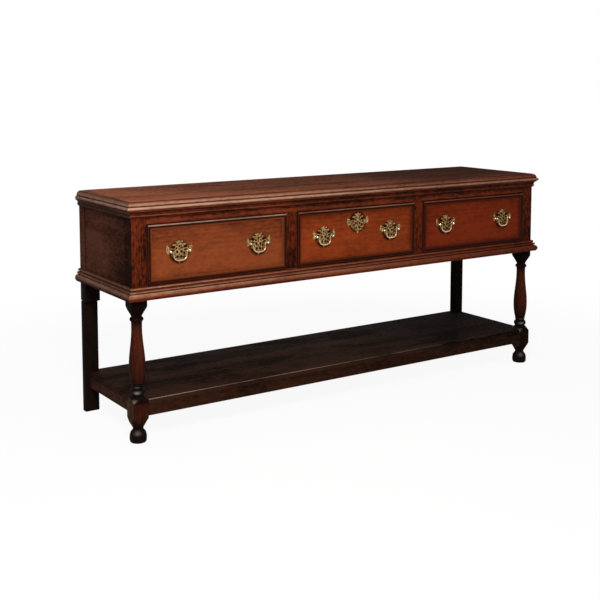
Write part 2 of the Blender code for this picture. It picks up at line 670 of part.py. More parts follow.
def plate_outline():
    """Bat-wing plate: three-lobed crown, horned wings and a pointed foot, about the post line."""
    half = arc((0, CROWN_HEIGHT / MM - 6), (6, 6), 90, 15, 2)
    half += arc((10.6, 32), (3.6, 3.4), 150, -80, 3)
    half += [(9.2, 25.6)]
    half += arc((21.9, 22.4), (3.4, 2.8), 100, -80, 3)
    half += arc((19.5, 14.4), (4.7, 4.8), 120, 260, 3)
    half += bow((24, 9.6), (33, 11), (42.5, 17.5), 2)
    half += [(44.8, 22)]
    half += bow((44.6, 27), (56, 13), (47.8, -6.6), 4)
    half += [(43, -9.4), (34.5, -5.8)]
    half += arc((26.2, -14), (4.4, 4.2), 40, -100, 2)
    half += bow((24, -21), (20, -29), (5.4, -31), 2)
    half += [(0, -43.5)]
    return mirrored(millimetres(half))


def ring(x, z, width, height, sides=6):
    """Small round or oval piercing."""
    return millimetres(arc((x, z), (width / 2, height / 2), 90, 90 + 360 * (sides - 1) / sides, sides - 1))


def piercings(with_keyhole):
    """Holes of a plate: a middle row, and pairs out to the wings."""
    holes = [] if with_keyhole else [ring(0, 17.5, 5.5, 8.5), ring(0, 7.5, 4.6, 4.6)]
    for side in (-1, 1):
        for x, z, width, height in ((22.8, 4, 9.5, 4.6), (41.4, 8.6, 7.5, 6), (8.2, -3, 7, 10),
                                    (18, -9.5, 6.5, 10), (6.8, -20, 7.5, 9.5)):
            holes.append(ring(side * x, z, width, height))
    return holes


def keyhole(grow=0.0):
    """Keyhole about the wing line: a round eye over a narrow slot."""
    eye = KEYHOLE_RADIUS + grow
    slot = KEYHOLE_SLOT / 2 + grow
    half = arc((0.0, KEYHOLE_RISE), (eye, eye), 90, -60, 4)
    half = [point for point in half if point[0] >= slot or point[1] > KEYHOLE_RISE]
    half += [(slot, KEYHOLE_RISE - eye), (slot, KEYHOLE_RISE - KEYHOLE_DROP - grow)]
    return mirrored(half)


def pull_post():
    """Post of a pull as (radius, height along its axis): ball, collar and stem."""
    tail = -PLATE_THICKNESS / 2 - GAP - FRONT_THICKNESS - STEM_TAIL
    points = [(0.0, POST_REACH + POST_BALL)]
    points += arc((0.0, POST_REACH), (POST_BALL, POST_BALL), 55, -55, 3)
    points += [(POST_COLLAR, PLATE_THICKNESS), (STEM_RADIUS, 0.0), (STEM_RADIUS, tail), (0.0, tail)]
    return points


def cylinder(radius, length, sides):
    """Capped cylinder mesh about its own Z axis."""
    bm = bmesh.new()
    bmesh.ops.create_cone(bm, cap_ends=True, segments=sides, radius1=radius, radius2=radius, depth=length)
    return mesh_of(bm, "cylinder")


def pull(name, x, z, front, carrier):
    """Pierced plate with two posts through the drawer front, and the bail that hangs in them."""
    plate_y = FIELD_Y - GAP - PLATE_THICKNESS / 2
    hinge_y = plate_y - POST_REACH
    data = cut_out("pull_plate", [plate_outline(), *piercings(False)], PLATE_THICKNESS, FRONT_VIEW)
    plate = piece(f"pull_plate_{name}", data, aged_brass, (x, plate_y, z), carrier)
    bore_radius = (PIN_RADIUS + PIN_CLEARANCE) / cos(pi / BORE_SIDES)
    for side in (-1, 1):
        post_x = x + side * POST_SPACING / 2
        post = tool(turned("pull_post", pull_post()), (post_x, plate_y, z))
        post.rotation_euler = (pi / 2, 0.0, 0.0)
        spin(post, POST_STEPS)
        boolean(plate, post, 'UNION')
        bore = tool(cylinder(bore_radius, 4 * POST_BALL, BORE_SIDES), (post_x, hinge_y, z))
        bore.rotation_euler = (0.0, pi / 2, 0.0)
        boolean(plate, bore, 'DIFFERENCE')
        hole_radius = (STEM_RADIUS + GAP) / cos(pi / BORE_SIDES)
        hole = tool(cylinder(hole_radius, 4 * FRONT_THICKNESS, BORE_SIDES), (post_x, FIELD_Y, z))
        hole.rotation_euler = (pi / 2, 0.0, 0.0)
        boolean(front, hole, 'DIFFERENCE')

    bend = (BAIL_HALF_WIDTH + BAIL_BEND, -BAIL_BEND)
    half = [(POST_SPACING / 2 + POST_BALL / 2, 0.0), (POST_SPACING / 2 - POST_BALL - GAP, 0.0)]
    half += arc(bend, (BAIL_BEND, BAIL_BEND), 90, 180, 2)
    for across, down in arc((0.0, 0.0), (1.0, 1.0), 0, 90, 4):
        half.append((BAIL_HALF_WIDTH * across ** BAIL_SQUARENESS, -BAIL_SHANK - BAIL_BOW * down ** BAIL_SQUARENESS))
    path = half + [(-px, py) for px, py in reversed(half[:-1])]
    wire = bpy.data.curves.new("bail", 'CURVE')
    wire.dimensions = '3D'
    wire.bevel_depth = BAIL_RADIUS
    wire.bevel_resolution = 2
    wire.use_fill_caps = True
    spline = wire.splines.new('POLY')
    spline.points.add(len(path) - 1)
    pin_points = (0, 1, len(path) - 2, len(path) - 1)
    for index, (point, place) in enumerate(zip(spline.points, path)):
        point.co = (place[0], 0.0, place[1], 1.0)
        point.radius = PIN_RADIUS / BAIL_RADIUS if index in pin_points else 1.0
    piece(f"bail_{name}", wire, aged_brass, (x, hinge_y, z), carrier)


def side_outline(shoulder, rear, low, high, tail_end, grow=0.0):
    """Drawer side seen from the end, and its dovetails as separate outlines."""
    pitch = (high - low) / TAIL_COUNT
    flare = (pitch - TAIL_PIN) / 2 + grow
    tails = []
    for k in reversed(range(TAIL_COUNT)):
        middle = low + (k + 0.5) * pitch
        tails.append([(shoulder + grow, middle + flare - TAIL_SLOPE), (tail_end - grow, middle + flare),
                      (tail_end - grow, middle - flare), (shoulder + grow, middle - flare + TAIL_SLOPE)])
    body = [(rear, low), (rear, high), (shoulder, high)]
    return body + [point for tail in tails for point in tail] + [(shoulder, low)], tails


def drawer(name, middle):
    """Dovetailed drawer with a grooved bottom, a moulded border and two pulls."""
    low = OPENING_BOTTOM + GAP
    high = OPENING_TOP - DRAWER_TOP_PLAY
    half = OPENING_WIDTH / 2 - DRAWER_SIDE_PLAY
    inner = half - SIDE_THICKNESS
    front_back = FIELD_Y + FRONT_THICKNESS
    shoulder = front_back + GAP
    rear = BACK_PANEL_FRONT - DRAWER_STOP_PLAY
    side_top = high - SIDE_DROP
    bottom_z = (low + BOTTOM_RISE, low + BOTTOM_RISE + BOTTOM_THICKNESS)
    slide = linked(f"{name}_drawer_slide", None, parts, (middle, FIELD_Y, low))

    front = board(f"{name}_drawer_front", about(middle, 2 * half), (FIELD_Y, front_back), (low, high),
                  field_oak, slide)
    tongue = inner - GAP
    groove_y = (front_back - BOTTOM_TONGUE, front_back + GAP)
    boolean(front, tool_box(about(middle, 2 * inner), groove_y, grown(bottom_z)), 'DIFFERENCE')

    back_y = (rear - DRAWER_BACK_INSET - DRAWER_BACK_THICKNESS, rear - DRAWER_BACK_INSET)
    back_z = (bottom_z[1] + GAP, side_top - DRAWER_BACK_DROP)
    tail_end = FIELD_Y + LAP + GAP
    for side_name, side in (("left", -1), ("right", 1)):
        outline, _ = side_outline(shoulder, rear, low, side_top, tail_end)
        data = cut_out("drawer_side", [outline], SIDE_THICKNESS, END_VIEW)
        place = middle + side * (half - SIDE_THICKNESS / 2)
        wall = piece(f"{name}_drawer_side_{side_name}", data, lining_oak, (place, 0.0, 0.0), slide)
        _, sockets = side_outline(shoulder, rear, low, side_top, tail_end, GAP)
        socket = tool(cut_out("sockets", sockets, 2 * SIDE_THICKNESS, END_VIEW),
                      (middle + side * (inner + SIDE_THICKNESS - GAP), 0.0, 0.0))
        boolean(front, socket, 'DIFFERENCE')
        face = middle + side * inner
        groove_x = sorted((face - side * BOTTOM_GROOVE, face + side * BOTTOM_GROOVE))
        boolean(wall, tool_box(groove_x, (shoulder + GROOVE_STOP, rear + LAP), grown(bottom_z)), 'DIFFERENCE')
        housing_x = sorted((face - side * HOUSING_DEPTH, face + side * HOUSING_DEPTH))
        boolean(wall, tool_box(housing_x, grown(back_y), (bottom_z[1], side_top + LAP)), 'DIFFERENCE')

    back_half = inner + HOUSING_DEPTH - GAP
    board(f"{name}_drawer_back", about(middle, 2 * back_half), back_y, back_z, lining_oak, slide, arris=0.0)
    wing = inner + BOTTOM_GROOVE - GAP
    wing_y = shoulder + GROOVE_STOP + GAP
    plan = [(tongue, front_back - BOTTOM_TONGUE + GAP), (tongue, wing_y), (wing, wing_y), (wing, rear)]
    plan += [(-px, py) for px, py in reversed(plan)]
    data = cut_out("drawer_bottom", [plan], BOTTOM_THICKNESS, PLAN)
    piece(f"{name}_drawer_bottom", data, lining_oak, (middle, 0.0, sum(bottom_z) / 2), slide)

    border = [(0.0, GAP), (0.0, BORDER_SIDE)]
    border += arc((BORDER_BEAD / 2, BORDER_SIDE), (BORDER_BEAD / 2, BORDER_PROUD - BORDER_SIDE), 150, 30, 3)
    border += [(BORDER_BEAD, BORDER_VALLEY)]
    border += bow((BORDER_BEAD, BORDER_VALLEY), (BORDER_BEAD, BORDER_INNER),
                  (BORDER_WIDTH, BORDER_INNER), 3)[1:]
    border += [(BORDER_WIDTH, GAP)]
    rings = []
    for inset, proud in border:
        x, y = half - inset, -proud
        rings.append([(-x, y, low + inset), (x, y, low + inset), (x, y, high - inset), (-x, y, high - inset)])
    moulding = loft(rings, "drawer_border", closed=True)
    piece(f"{name}_drawer_moulding", moulding, moulding_oak, (middle, FIELD_Y, 0.0), slide)

    for side_name, side in (("left", -1), ("right", 1)):
        pull(f"{name}_{side_name}", middle + side * (half - PULL_INSET), (low + high) / 2 + PULL_RISE,
             front, slide)
    return front, slide, front_back, high


def lock(front, slide, front_back, high):
    """Escutcheon, keyhole and iron lock of the middle drawer; its bolt is drawn back in the case."""
    wing_line = high - BORDER_WIDTH - ESCUTCHEON_DROP - CROWN_HEIGHT
    rings = [plate_outline(), keyhole(GAP), *piercings(True)]
    data = cut_out("escutcheon", rings, PLATE_THICKNESS, FRONT_VIEW)
    piece("escutcheon", data, aged_brass, (0.0, FIELD_Y - GAP - PLATE_THICKNESS / 2, wing_line), slide)
    eye = tool(cut_out("keyhole", [keyhole()], 4 * FRONT_THICKNESS, FRONT_VIEW), (0.0, FIELD_Y, wing_line))
    boolean(front, eye, 'DIFFERENCE')
    x = about(0.0, LOCK_WIDTH)
    y = (front_back - LOCK_DEPTH, front_back + LOCK_PROUD)
    z = (high - LOCK_HEIGHT, high)
    board("drawer_lock", x, y, z, lock_iron, slide)
    boolean(front, tool_box(grown(x), (y[0] - GAP, y[1] + LAP), (z[0] - GAP, z[1] + LAP)), 'DIFFERENCE')


for index, drawer_name in enumerate(DRAWER_NAMES):
    made = drawer(drawer_name, (index - 1) * OPENING_PITCH)
    if drawer_name == "middle":
        lock(*made)
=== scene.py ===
"""Looks of an oak dresser base: three drawers over turned front legs and a pot board.

Metres, +Z up, the front towards -Y. Each section finishes one piece or group of like pieces, in
the order in which the dresser is put together. The last section sets the floor, light and camera.
"""

from math import cos, hypot, pi, radians, sin

import bmesh
import bpy
from mathutils import Matrix, Vector, noise


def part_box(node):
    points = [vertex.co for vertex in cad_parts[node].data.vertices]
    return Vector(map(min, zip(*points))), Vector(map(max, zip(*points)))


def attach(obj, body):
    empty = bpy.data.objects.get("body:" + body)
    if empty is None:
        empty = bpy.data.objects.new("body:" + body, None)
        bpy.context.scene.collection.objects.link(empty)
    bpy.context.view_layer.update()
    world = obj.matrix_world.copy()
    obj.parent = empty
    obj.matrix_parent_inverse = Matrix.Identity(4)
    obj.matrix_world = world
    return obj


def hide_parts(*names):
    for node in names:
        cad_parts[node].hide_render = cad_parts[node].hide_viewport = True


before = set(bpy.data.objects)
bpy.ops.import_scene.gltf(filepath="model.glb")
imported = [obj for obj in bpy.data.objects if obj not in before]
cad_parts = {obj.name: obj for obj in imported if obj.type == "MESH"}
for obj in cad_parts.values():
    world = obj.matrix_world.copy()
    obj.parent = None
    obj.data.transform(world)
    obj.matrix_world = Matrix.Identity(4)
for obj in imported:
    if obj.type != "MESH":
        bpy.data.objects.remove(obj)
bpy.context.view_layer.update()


# Front legs
# Each is one square oak blank: left square as the corner post of the carcass and as the block that
# takes the pot board, and turned on a lathe between and below them. The turning is stained almost
# black and rubbed back to red along the shaft; the post has the red-brown of the carcass frame.

def linear(colour):
    """sRGB hex value as the linear colour that a shader reads."""
    channels = [int(colour[i:i + 2], 16) / 255 for i in (1, 3, 5)]
    return (*[c / 12.92 if c <= 0.04045 else ((c + 0.055) / 1.055) ** 2.4 for c in channels], 1.0)


def feed(tree, node, inputs):
    """Sets inputs of a node: each is a value, or the output that feeds it."""
    for name, value in inputs.items():
        if isinstance(value, bpy.types.NodeSocket):
            tree.links.new(value, node.inputs[name])
        else:
            node.inputs[name].default_value = value


def add(tree, kind, inputs=None, give=0, **settings):
    """Adds a shader node with its settings and inputs, and gives one of its outputs."""
    made = tree.nodes.new("ShaderNode" + kind)
    for name, value in settings.items():
        setattr(made, name, value)
    feed(tree, made, inputs or {})
    return made.outputs[give]


def blank(name):
    """New finish: its material, nodes and shader, and the place on the piece that its patterns read."""
    made = bpy.data.materials.new(name)
    made.use_nodes = True
    tree = made.node_tree
    return made, tree, tree.nodes["Principled BSDF"], add(tree, "TexCoord", give="Object")


SOFT = {"interpolation_type": 'SMOOTHSTEP'}      # for a mark that sets in and ends gently


def deepening(tree, place, axis, start, end, darkest):
    """Old wax and smoke along one axis, from none at its start to the darkest at its end; some pieces take
    painted shade this way.
    """
    along = add(tree, "SeparateXYZ", {0: place}, give=axis)
    return add(tree, "MapRange", {"Value": along, "From Min": start, "From Max": end, "To Max": darkest},
               **SOFT)


RING_WAVE = 2 * pi / 20      # a wave texture's ring spacing at scale 1
# Patterns of the wood, by their number in a metre along and across the grain
LOG = (0.07, 1.0)            # growth rings waver little lengthwise
PORES = (11.0, 330.0)        # open pores are 0.3 mm wide, too fine to show, so they are drawn 3 mm wide
RAYS = (48.0, 105.0)         # flakes of about 10 mm
CLOUDS = (3.2, 8.5)          # of a hand's width
PLANED = (5.0, 22.0)         # shallow hollows that a hand plane leaves


def oak(name, grain, deep, body, rubbed_and_lit, pith, ring=0.009, rings=0.35, streaks=0.5, pore=PORES,
        clouds=0.35, flakes=0.2, rough=0.42, shine=0.2, smoke_and_shade=(), marks=None):
    """Old waxed oak, its grain along one axis and its growth rings round a pith outside the board.

    The rings cross a face as slow bands, and the pores as dark streaks. The rays show as flakes,
    lighter or darker with the light, and wax lies in clouds. Smoke and painted shade deepen over
    stretches of an axis, each with its start, end and darkest tone. The wear attribute is above 0 where
    the stain is worn back and where a highlight is painted, and below 0 for grime and painted shade."""
    made, tree, shader, place = blank(name)

    def stretched(lengthwise, across):
        """Scale of a pattern that runs with the grain."""
        return [lengthwise if axis == grain else across for axis in "XYZ"]

    def figure(pattern, detail, roughness=0.5, distortion=0.0, start=(0.0, 0.0, 0.0)):
        """Uneven figure of the wood."""
        laid = add(tree, "Mapping", {"Vector": place, "Location": start, "Scale": stretched(*pattern)})
        return add(tree, "TexNoise", {"Vector": laid, "Scale": 1.0, "Detail": detail,
                                      "Roughness": roughness, "Distortion": distortion})

    log = add(tree, "Mapping", {"Vector": place, "Location": pith, "Scale": stretched(*LOG)})
    bands = add(tree, "TexWave", {"Vector": log, "Scale": RING_WAVE / ring, "Distortion": 5.0,
                                  "Detail": 3.0, "Detail Scale": 0.16, "Detail Roughness": 0.6},
                wave_type='RINGS', rings_direction=grain, give="Fac")
    pores = figure(pore, 3.0, 0.62)
    pores = add(tree, "MapRange", {"Value": pores, "From Min": 0.50, "From Max": 0.68}, **SOFT)
    wax = figure(CLOUDS, 5.0, 0.6, 0.4, pith)
    wax = add(tree, "MapRange", {"Value": wax, "From Min": 0.42, "From Max": 0.66}, **SOFT)
    shade = add(tree, "MapRange", {"Value": figure(RAYS, 2.0, 0.55), "From Min": 0.36, "From Max": 0.64,
                                   "To Min": -flakes / 2, "To Max": flakes / 2})
    for pattern, strength in ((bands, rings), (pores, streaks), (wax, clouds)):
        shade = add(tree, "Math", {0: pattern, 1: strength, 2: shade}, operation='MULTIPLY_ADD')
    tones = [deepening(tree, place, *stretch) for stretch in smoke_and_shade]
    if marks:
        tones.append(marks(tree, place))
    for tone in tones:
        shade = add(tree, "Math", {0: shade, 1: tone}, operation='ADD')
    # Wear and painted highlights lighten the stain; grime and painted shade darken it
    worn_and_lit = add(tree, "Attribute", attribute_name="rubbed_and_lit", give="Fac")
    grime_and_shade = add(tree, "Math", {0: worn_and_lit, 1: -1.0}, operation='MULTIPLY', use_clamp=True)
    shade = add(tree, "Math", {0: shade, 1: grime_and_shade}, operation='ADD', use_clamp=True)
    stained = add(tree, "Mix", {0: shade, 6: linear(body), 7: linear(deep)}, data_type='RGBA', give=2)
    bare = add(tree, "Math", {0: 1.0, 1: shade}, operation='SUBTRACT')
    bare = add(tree, "Math", {0: worn_and_lit, 1: bare}, operation='MULTIPLY')
    colour = add(tree, "Mix", {0: bare, 6: stained, 7: linear(rubbed_and_lit)}, data_type='RGBA', give=2)

    dull = add(tree, "MapRange", {"Value": shade, "To Min": rough - 0.08, "To Max": rough + 0.14})
    planed = add(tree, "Bump", {"Height": figure(PLANED, 2.0), "Strength": 0.35, "Distance": 0.002})
    sunk = add(tree, "Math", {0: pores, 1: bands, 2: 0.4}, operation='MULTIPLY_ADD')
    grained = add(tree, "Bump", {"Height": sunk, "Normal": planed, "Strength": 0.3, "Distance": 0.0006},
                  invert=True)
    feed(tree, shader, {"Base Color": colour, "Roughness": dull, "Specular IOR Level": shine,
                        "Normal": grained})
    return made


SHARP = radians(32)          # faces that meet at a larger angle keep a crisp edge
WELD = 0.000002              # points closer than this are one


def worn_and_lit_mesh():
    """Empty mesh, and its layer for each point's wear, painted highlight and painted shade."""
    bm = bmesh.new()
    return bm, bm.verts.layers.float.new("rubbed_and_lit")


def placed(name, data):
    """New object in the scene."""
    made = bpy.data.objects.new(name, data)
    bpy.context.scene.collection.objects.link(made)
    return made


def stand_in(bm, name, finishes, body, slot, *nodes):
    """Finished piece from a bmesh, riding on a body and standing for CAD nodes."""
    bmesh.ops.remove_doubles(bm, verts=bm.verts, dist=WELD)
    bmesh.ops.recalc_face_normals(bm, faces=bm.faces)
    for face in bm.faces:
        face.smooth = True
    for edge in bm.edges:
        edge.smooth = edge.calc_face_angle(0.0) < SHARP
    data = bpy.data.meshes.new(name)
    bm.to_mesh(data)
    bm.free()
    for finish in finishes:
        data.materials.append(finish)
    made = placed(name, data)
    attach(made, body)
    if nodes:
        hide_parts(*nodes)


def arc(centre, radii, start, end, steps):
    """Points on an ellipse, angles in degrees."""
    turn = [radians(start + (end - start) * i / steps) for i in range(steps + 1)]
    return [(centre[0] + radii[0] * cos(a), centre[1] + radii[1] * sin(a)) for a in turn]


def bow(start, bend, end, steps):
    """Points on a curve from start to end, drawn towards bend."""
    share = [i / steps for i in range(steps + 1)]
    return [tuple((1 - t) ** 2 * s + 2 * t * (1 - t) * b + t * t * e for s, b, e in zip(start, bend, end))
            for t in share]


def swell(start, end, steps):
    """Points on an S-curve from one (radius, height) to another."""
    share = [i / steps for i in range(steps + 1)]
    return [(start[0] + (end[0] - start[0]) * (1 - cos(pi * t)) / 2, start[1] + (end[1] - start[1]) * t)
            for t in share]


def between(table, x):
    """Value at x on straight lines between the table's (x, value) pairs."""
    for (x0, v0), (x1, v1) in zip(table, table[1:]):
        if x <= x1:
            return v0 + (v1 - v0) * max(0.0, x - x0) / (x1 - x0)
    return table[-1][1]


def spun(bm, profile, centre, axis, steps):
    """Turns a profile of points once round an axis through the centre."""
    line = [bm.verts.new(point) for point in profile]
    edges = [bm.edges.new(pair) for pair in zip(line, line[1:])]
    bmesh.ops.spin(bm, geom=line + edges, cent=centre, axis=axis, angle=2 * pi, steps=steps, use_merge=True)
    bmesh.ops.remove_doubles(bm, verts=bm.verts, dist=WELD)


LEFT_MUNTIN = -0.305         # its middle
MUNTIN_REACH = 0.06          # far enough to take in the muntin, and no other upright


def muntin_foot(tree, place):
    """The foot of the left muntin is almost black."""
    along = add(tree, "SeparateXYZ", {0: place}, give="X")
    muntin = add(tree, "Math", {0: along, 1: LEFT_MUNTIN, 2: MUNTIN_REACH}, operation='COMPARE')
    foot = deepening(tree, place, "Z", 0.635, 0.600, 0.5)
    return add(tree, "Math", {0: foot, 1: muntin}, operation='MULTIPLY')


turning_oak = oak("stained_turning_oak", 'Z', "#090504", "#1a0d08", "#491f13", (0.06, 0.05, 0.0),
                  rings=0.25, streaks=0.45, clouds=0.3, rough=0.25, shine=0.005)
# The flat sides of the lower block take a lighter, browner copy of the stain than its front: a painted tone
# for the light on those sides
block_side_oak = oak("lit_block_side_oak", 'Z', "#120b07", "#443024", "#523626", (0.06, 0.05, 0.0),
                rings=0.2, streaks=0.4, clouds=0.4, flakes=0.4, rough=0.45, shine=0.004)
# Painted highlights: a grey copy of the stain where the lamp glints on feet, shoulders and rings
highlight_oak = oak("turning_oak_painted_highlights", 'Z', "#0a0706", "#18110e", "#857b74", (0.06, 0.05, 0.0),
                  rings=0.2, streaks=0.35, clouds=0.2, rough=0.25, shine=0.006)
# Of the posts and muntins, the left muntin and the right-hand post are the darkest
post_oak = oak("waxed_post_oak", 'Z', "#1e0a05", "#5f2410", "#7c3c22", (0.04, 0.13, 0.0),
               rings=0.25, streaks=0.45, pore=(35.0, 150.0), clouds=0.5, flakes=0.75, rough=0.40, shine=0.02,
               smoke_and_shade=(("X", -0.8, -0.4, 0.30), ("X", -0.2, 0.2, -0.35), ("X", 0.5, 0.92, 0.30)),
               marks=muntin_foot)
# Painted shade darkens the ends of the carcass by the front post and under the top; they are also darker by
# the rear post
panel_oak = oak("stained_panel_oak", 'Y', "#1e110c", "#553023", "#5f3828", (0.35, 0.0, -0.60), ring=0.014,
                rings=0.2, streaks=0.25, clouds=0.32, flakes=0.35, rough=0.55, shine=0.004,
                smoke_and_shade=(("Y", 0.06, -0.19, 0.50), ("Y", 0.14, 0.23, 0.20), ("Z", 0.66, 0.80, 0.10)))

UNDERSIDE = 0.500            # lower edge of the carcass
UNDER_TOP = 0.8065           # upper end of the posts
TURNING_STEPS = 96
BLANK_REACH = 0.044          # turning radius beyond the corners of the square blank
CORNER_ROUND = 0.0022
leg_profile = [
    (0.0, UNDER_TOP), (BLANK_REACH, UNDER_TOP), (BLANK_REACH, UNDERSIDE),
    *bow((BLANK_REACH, 0.4830), (0.0272, 0.4590), (0.0190, 0.4430), 18),
    (0.0184, 0.4420), (0.0184, 0.4385), (0.0196, 0.4376),
    *arc((0.0190, 0.4310), (0.0050, 0.0063), 78, -78, 14),
    (0.0198, 0.4242), (0.0199, 0.4222), (0.0186, 0.4200),
    *swell((0.0186, 0.4000), (0.0288, 0.2640), 24),
    *bow((0.0288, 0.2640), (0.0288, 0.2300), (0.0200, 0.1980), 16)[1:],
    *arc((0.0190, 0.1955), (0.0026, 0.0021), 80, -80, 8),
    (0.0188, 0.1928), (0.0188, 0.1880),
    *arc((0.0194, 0.1768), (0.0064, 0.0102), 85, -85, 14),
    (0.0194, 0.1662), (0.0196, 0.1645),
    *bow((0.0215, 0.1640), (0.0270, 0.1600), (BLANK_REACH, 0.1370), 24),
    *bow((BLANK_REACH, 0.0945), (0.0275, 0.0680), (0.0190, 0.0520), 18),
    (0.0184, 0.0508),
    *bow((0.0184, 0.0490), (0.0188, 0.0438), (0.0236, 0.0400), 6),
    *bow((0.0236, 0.0400), (0.0286, 0.0350), (0.0299, 0.0200), 10)[1:],
    *bow((0.0299, 0.0200), (0.0304, 0.0), (0.0245, 0.0), 8)[1:],
    (0.0, 0.0)]
# How far the stain is rubbed back, by height: most on the shaft, some on the block
RUBBED_BY_HEIGHT = ((0.0, 0.0), (0.05, -0.2), (0.08, 0.40), (0.10, 0.75), (0.13, 0.70), (0.15, 0.0),
                    (0.199, 0.0), (0.215, 0.30), (0.26, 0.90), (0.34, 1.1), (0.395, 0.95), (0.415, 0.3),
                    (0.424, -0.1), (0.432, 0.1), (0.44, -0.4), (0.50, -0.5), (0.505, 0.15), (0.80, 0.05))
SHADED = 0.35                # share of that on the sides, where cloths reach less; the front is also painted lighter, where the light falls
BLOCK_TOP = 0.16
BLOCK_WEAR = {"left": 1.0, "right": 0.15}
POST_END_SHADE = -0.12       # painted shade on the posts' faces at the ends of the carcass
# Feet, shoulders and the rings at the ankle take painted grey highlights on the side towards the key lamp
# instead
FOOT_TOP, SHOULDER, SHOULDER_TOP, RINGS_TOP = 0.0505, 0.1375, 0.1643, 0.1990
PAINTED_HIGHLIGHT_BY_HEIGHT = ((0.0, 0.0), (0.026, 0.0), (0.033, 0.35), (0.038, 0.50), (0.042, 0.20), (0.047, 0.0),
                     (0.141, 0.0), (0.147, 0.7), (0.153, 0.3), (0.160, -0.2), (0.172, 0.1), (0.178, 1.0),
                     (0.183, 0.2), (0.188, -0.2), (0.1955, 0.4), (0.199, 0.0))
# Headings of the painted highlights: towards the key lamp, and on the shoulders to the corner of the block
HIGHLIGHT_HEADING = Vector((-0.50, -0.87))
CORNER_HIGHLIGHT_HEADING = Vector((-0.71, -0.71))
HIGHLIGHT_FOCUS = 12             # the power that keeps a painted highlight to one side of the leg
SIDEWAYS, FLAT_SIDE, UPWARD = 0.7, 0.9, 0.3      # least shares of a face's normal along X, X and Z

finishes = (turning_oak, post_oak, panel_oak, highlight_oak, block_side_oak)
for side in ("left", "right"):
    low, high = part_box(f"front_leg_{side}")
    middle = (low + high) / 2
    half = (high.x - low.x) / 2
    bm, rubbed_and_lit = worn_and_lit_mesh()
    spun(bm, [(middle.x + r, middle.y, z) for r, z in leg_profile], (middle.x, middle.y, 0.0), (0, 0, 1),
         TURNING_STEPS)
    for vertex in bm.verts:
        # What lies outside the square blank is cut back to its faces, and its four arrises are rounded
        offset = [max(-half, min(half, vertex.co[i] - middle[i])) for i in (0, 1)]
        past = [abs(o) - half + CORNER_ROUND for o in offset]
        if min(past) > 0 and hypot(*past) > CORNER_ROUND:
            kept = [abs(o) - p + p * CORNER_ROUND / hypot(*past) for o, p in zip(offset, past)]
            offset = [k if o > 0 else -k for k, o in zip(kept, offset)]
        vertex.co.x, vertex.co.y = middle.x + offset[0], middle.y + offset[1]
        level = vertex.co.z
        heading = Vector(offset) / max(WELD, hypot(*offset))
        wear_and_light = between(RUBBED_BY_HEIGHT, level) * (BLOCK_WEAR[side] if level < BLOCK_TOP else 1.0)
        # Painted light: the front of the turning is lighter than its sides
        share = SHADED + (1 - SHADED) * max(0.0, -heading.y)
        # Painted highlights on the feet, shoulders and rings, on the side the lamp glints from
        if level < FOOT_TOP or SHOULDER < level < RINGS_TOP:
            wear_and_light = between(PAINTED_HIGHLIGHT_BY_HEIGHT, level)
            towards = CORNER_HIGHLIGHT_HEADING if SHOULDER < level < SHOULDER_TOP else HIGHLIGHT_HEADING
            share = max(0.0, heading.dot(towards)) ** HIGHLIGHT_FOCUS
        # The posts' faces at the ends of the carcass are darkened with painted shade
        if level > UNDERSIDE and abs(offset[0]) > half - CORNER_ROUND / 4:
            wear_and_light = POST_END_SHADE
        vertex[rubbed_and_lit] = wear_and_light * share if wear_and_light > 0 else wear_and_light
    bm.normal_update()
    for face in bm.faces:
        level = face.calc_center_median().z
        on_shoulder = SHOULDER < level < RINGS_TOP and face.normal.z > UPWARD
        finish = turning_oak
        # Faces of the post at the ends take the end panels' finish, with its painted shade
        if level > UNDERSIDE:
            finish = panel_oak if abs(face.normal.x) > SIDEWAYS else post_oak
        elif level < FOOT_TOP or SHOULDER_TOP < level < RINGS_TOP or on_shoulder:
            finish = highlight_oak
        # The block's flat sides take their lighter painted tone
        elif level < SHOULDER_TOP and abs(face.normal.x) > FLAT_SIDE:
            finish = block_side_oak
        face.material_index = finishes.index(finish)
    stand_in(bm, f"turned_leg_{side}", finishes, "carcass", "dark_oak", f"front_leg_{side}")


# Rear legs
# Plain oak planks behind the carcass, stained black and never polished much. The left one is
# spliced under its deeper head, and the worn joint shows as a nick on its outer edge.

def dress(finish, *names):
    """Gives CAD nodes their finish."""
    for name in names:
        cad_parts[name].material_slots[0].material = finish


def softened(bm, edges, soft, segments=2):
    """Rounds the arrises of a mesh."""
    bmesh.ops.bevel(bm, geom=edges, offset=soft, offset_type='OFFSET', affect='EDGES', segments=segments,
                    profile=0.5, material=-1)


def block(bm, low, high, soft, segments=2):
    """Squared timber between two corners, with its arrises rounded."""
    made = bmesh.ops.create_cube(bm, size=1.0)["verts"]
    bmesh.ops.scale(bm, vec=Vector(high) - Vector(low), verts=made)
    bmesh.ops.translate(bm, vec=(Vector(high) + Vector(low)) / 2, verts=made)
    softened(bm, list({edge for vertex in made for edge in vertex.link_edges}), soft, segments)


def edges_in(parts):
    """The edges among the parts of a mesh that an operator gives back."""
    return [part for part in parts if isinstance(part, bmesh.types.BMEdge)]


def sliced(bm, point, across, cut_off=False):
    """Cuts a mesh at a plane, or cuts off what lies beyond it and closes the cut."""
    cut = bmesh.ops.bisect_plane(bm, geom=[*bm.verts, *bm.edges, *bm.faces], dist=WELD, plane_co=point,
                                 plane_no=across, clear_outer=cut_off)
    if cut_off:
        bmesh.ops.contextual_create(bm, geom=edges_in(cut["geom_cut"]))


plank_oak = oak("blackened_plank_oak", 'Z', "#070504", "#1a100b", "#3a2015", (0.05, 0.09, 0.0),
                rings=0.2, streaks=0.5, clouds=0.35, rough=0.6, shine=0.01)

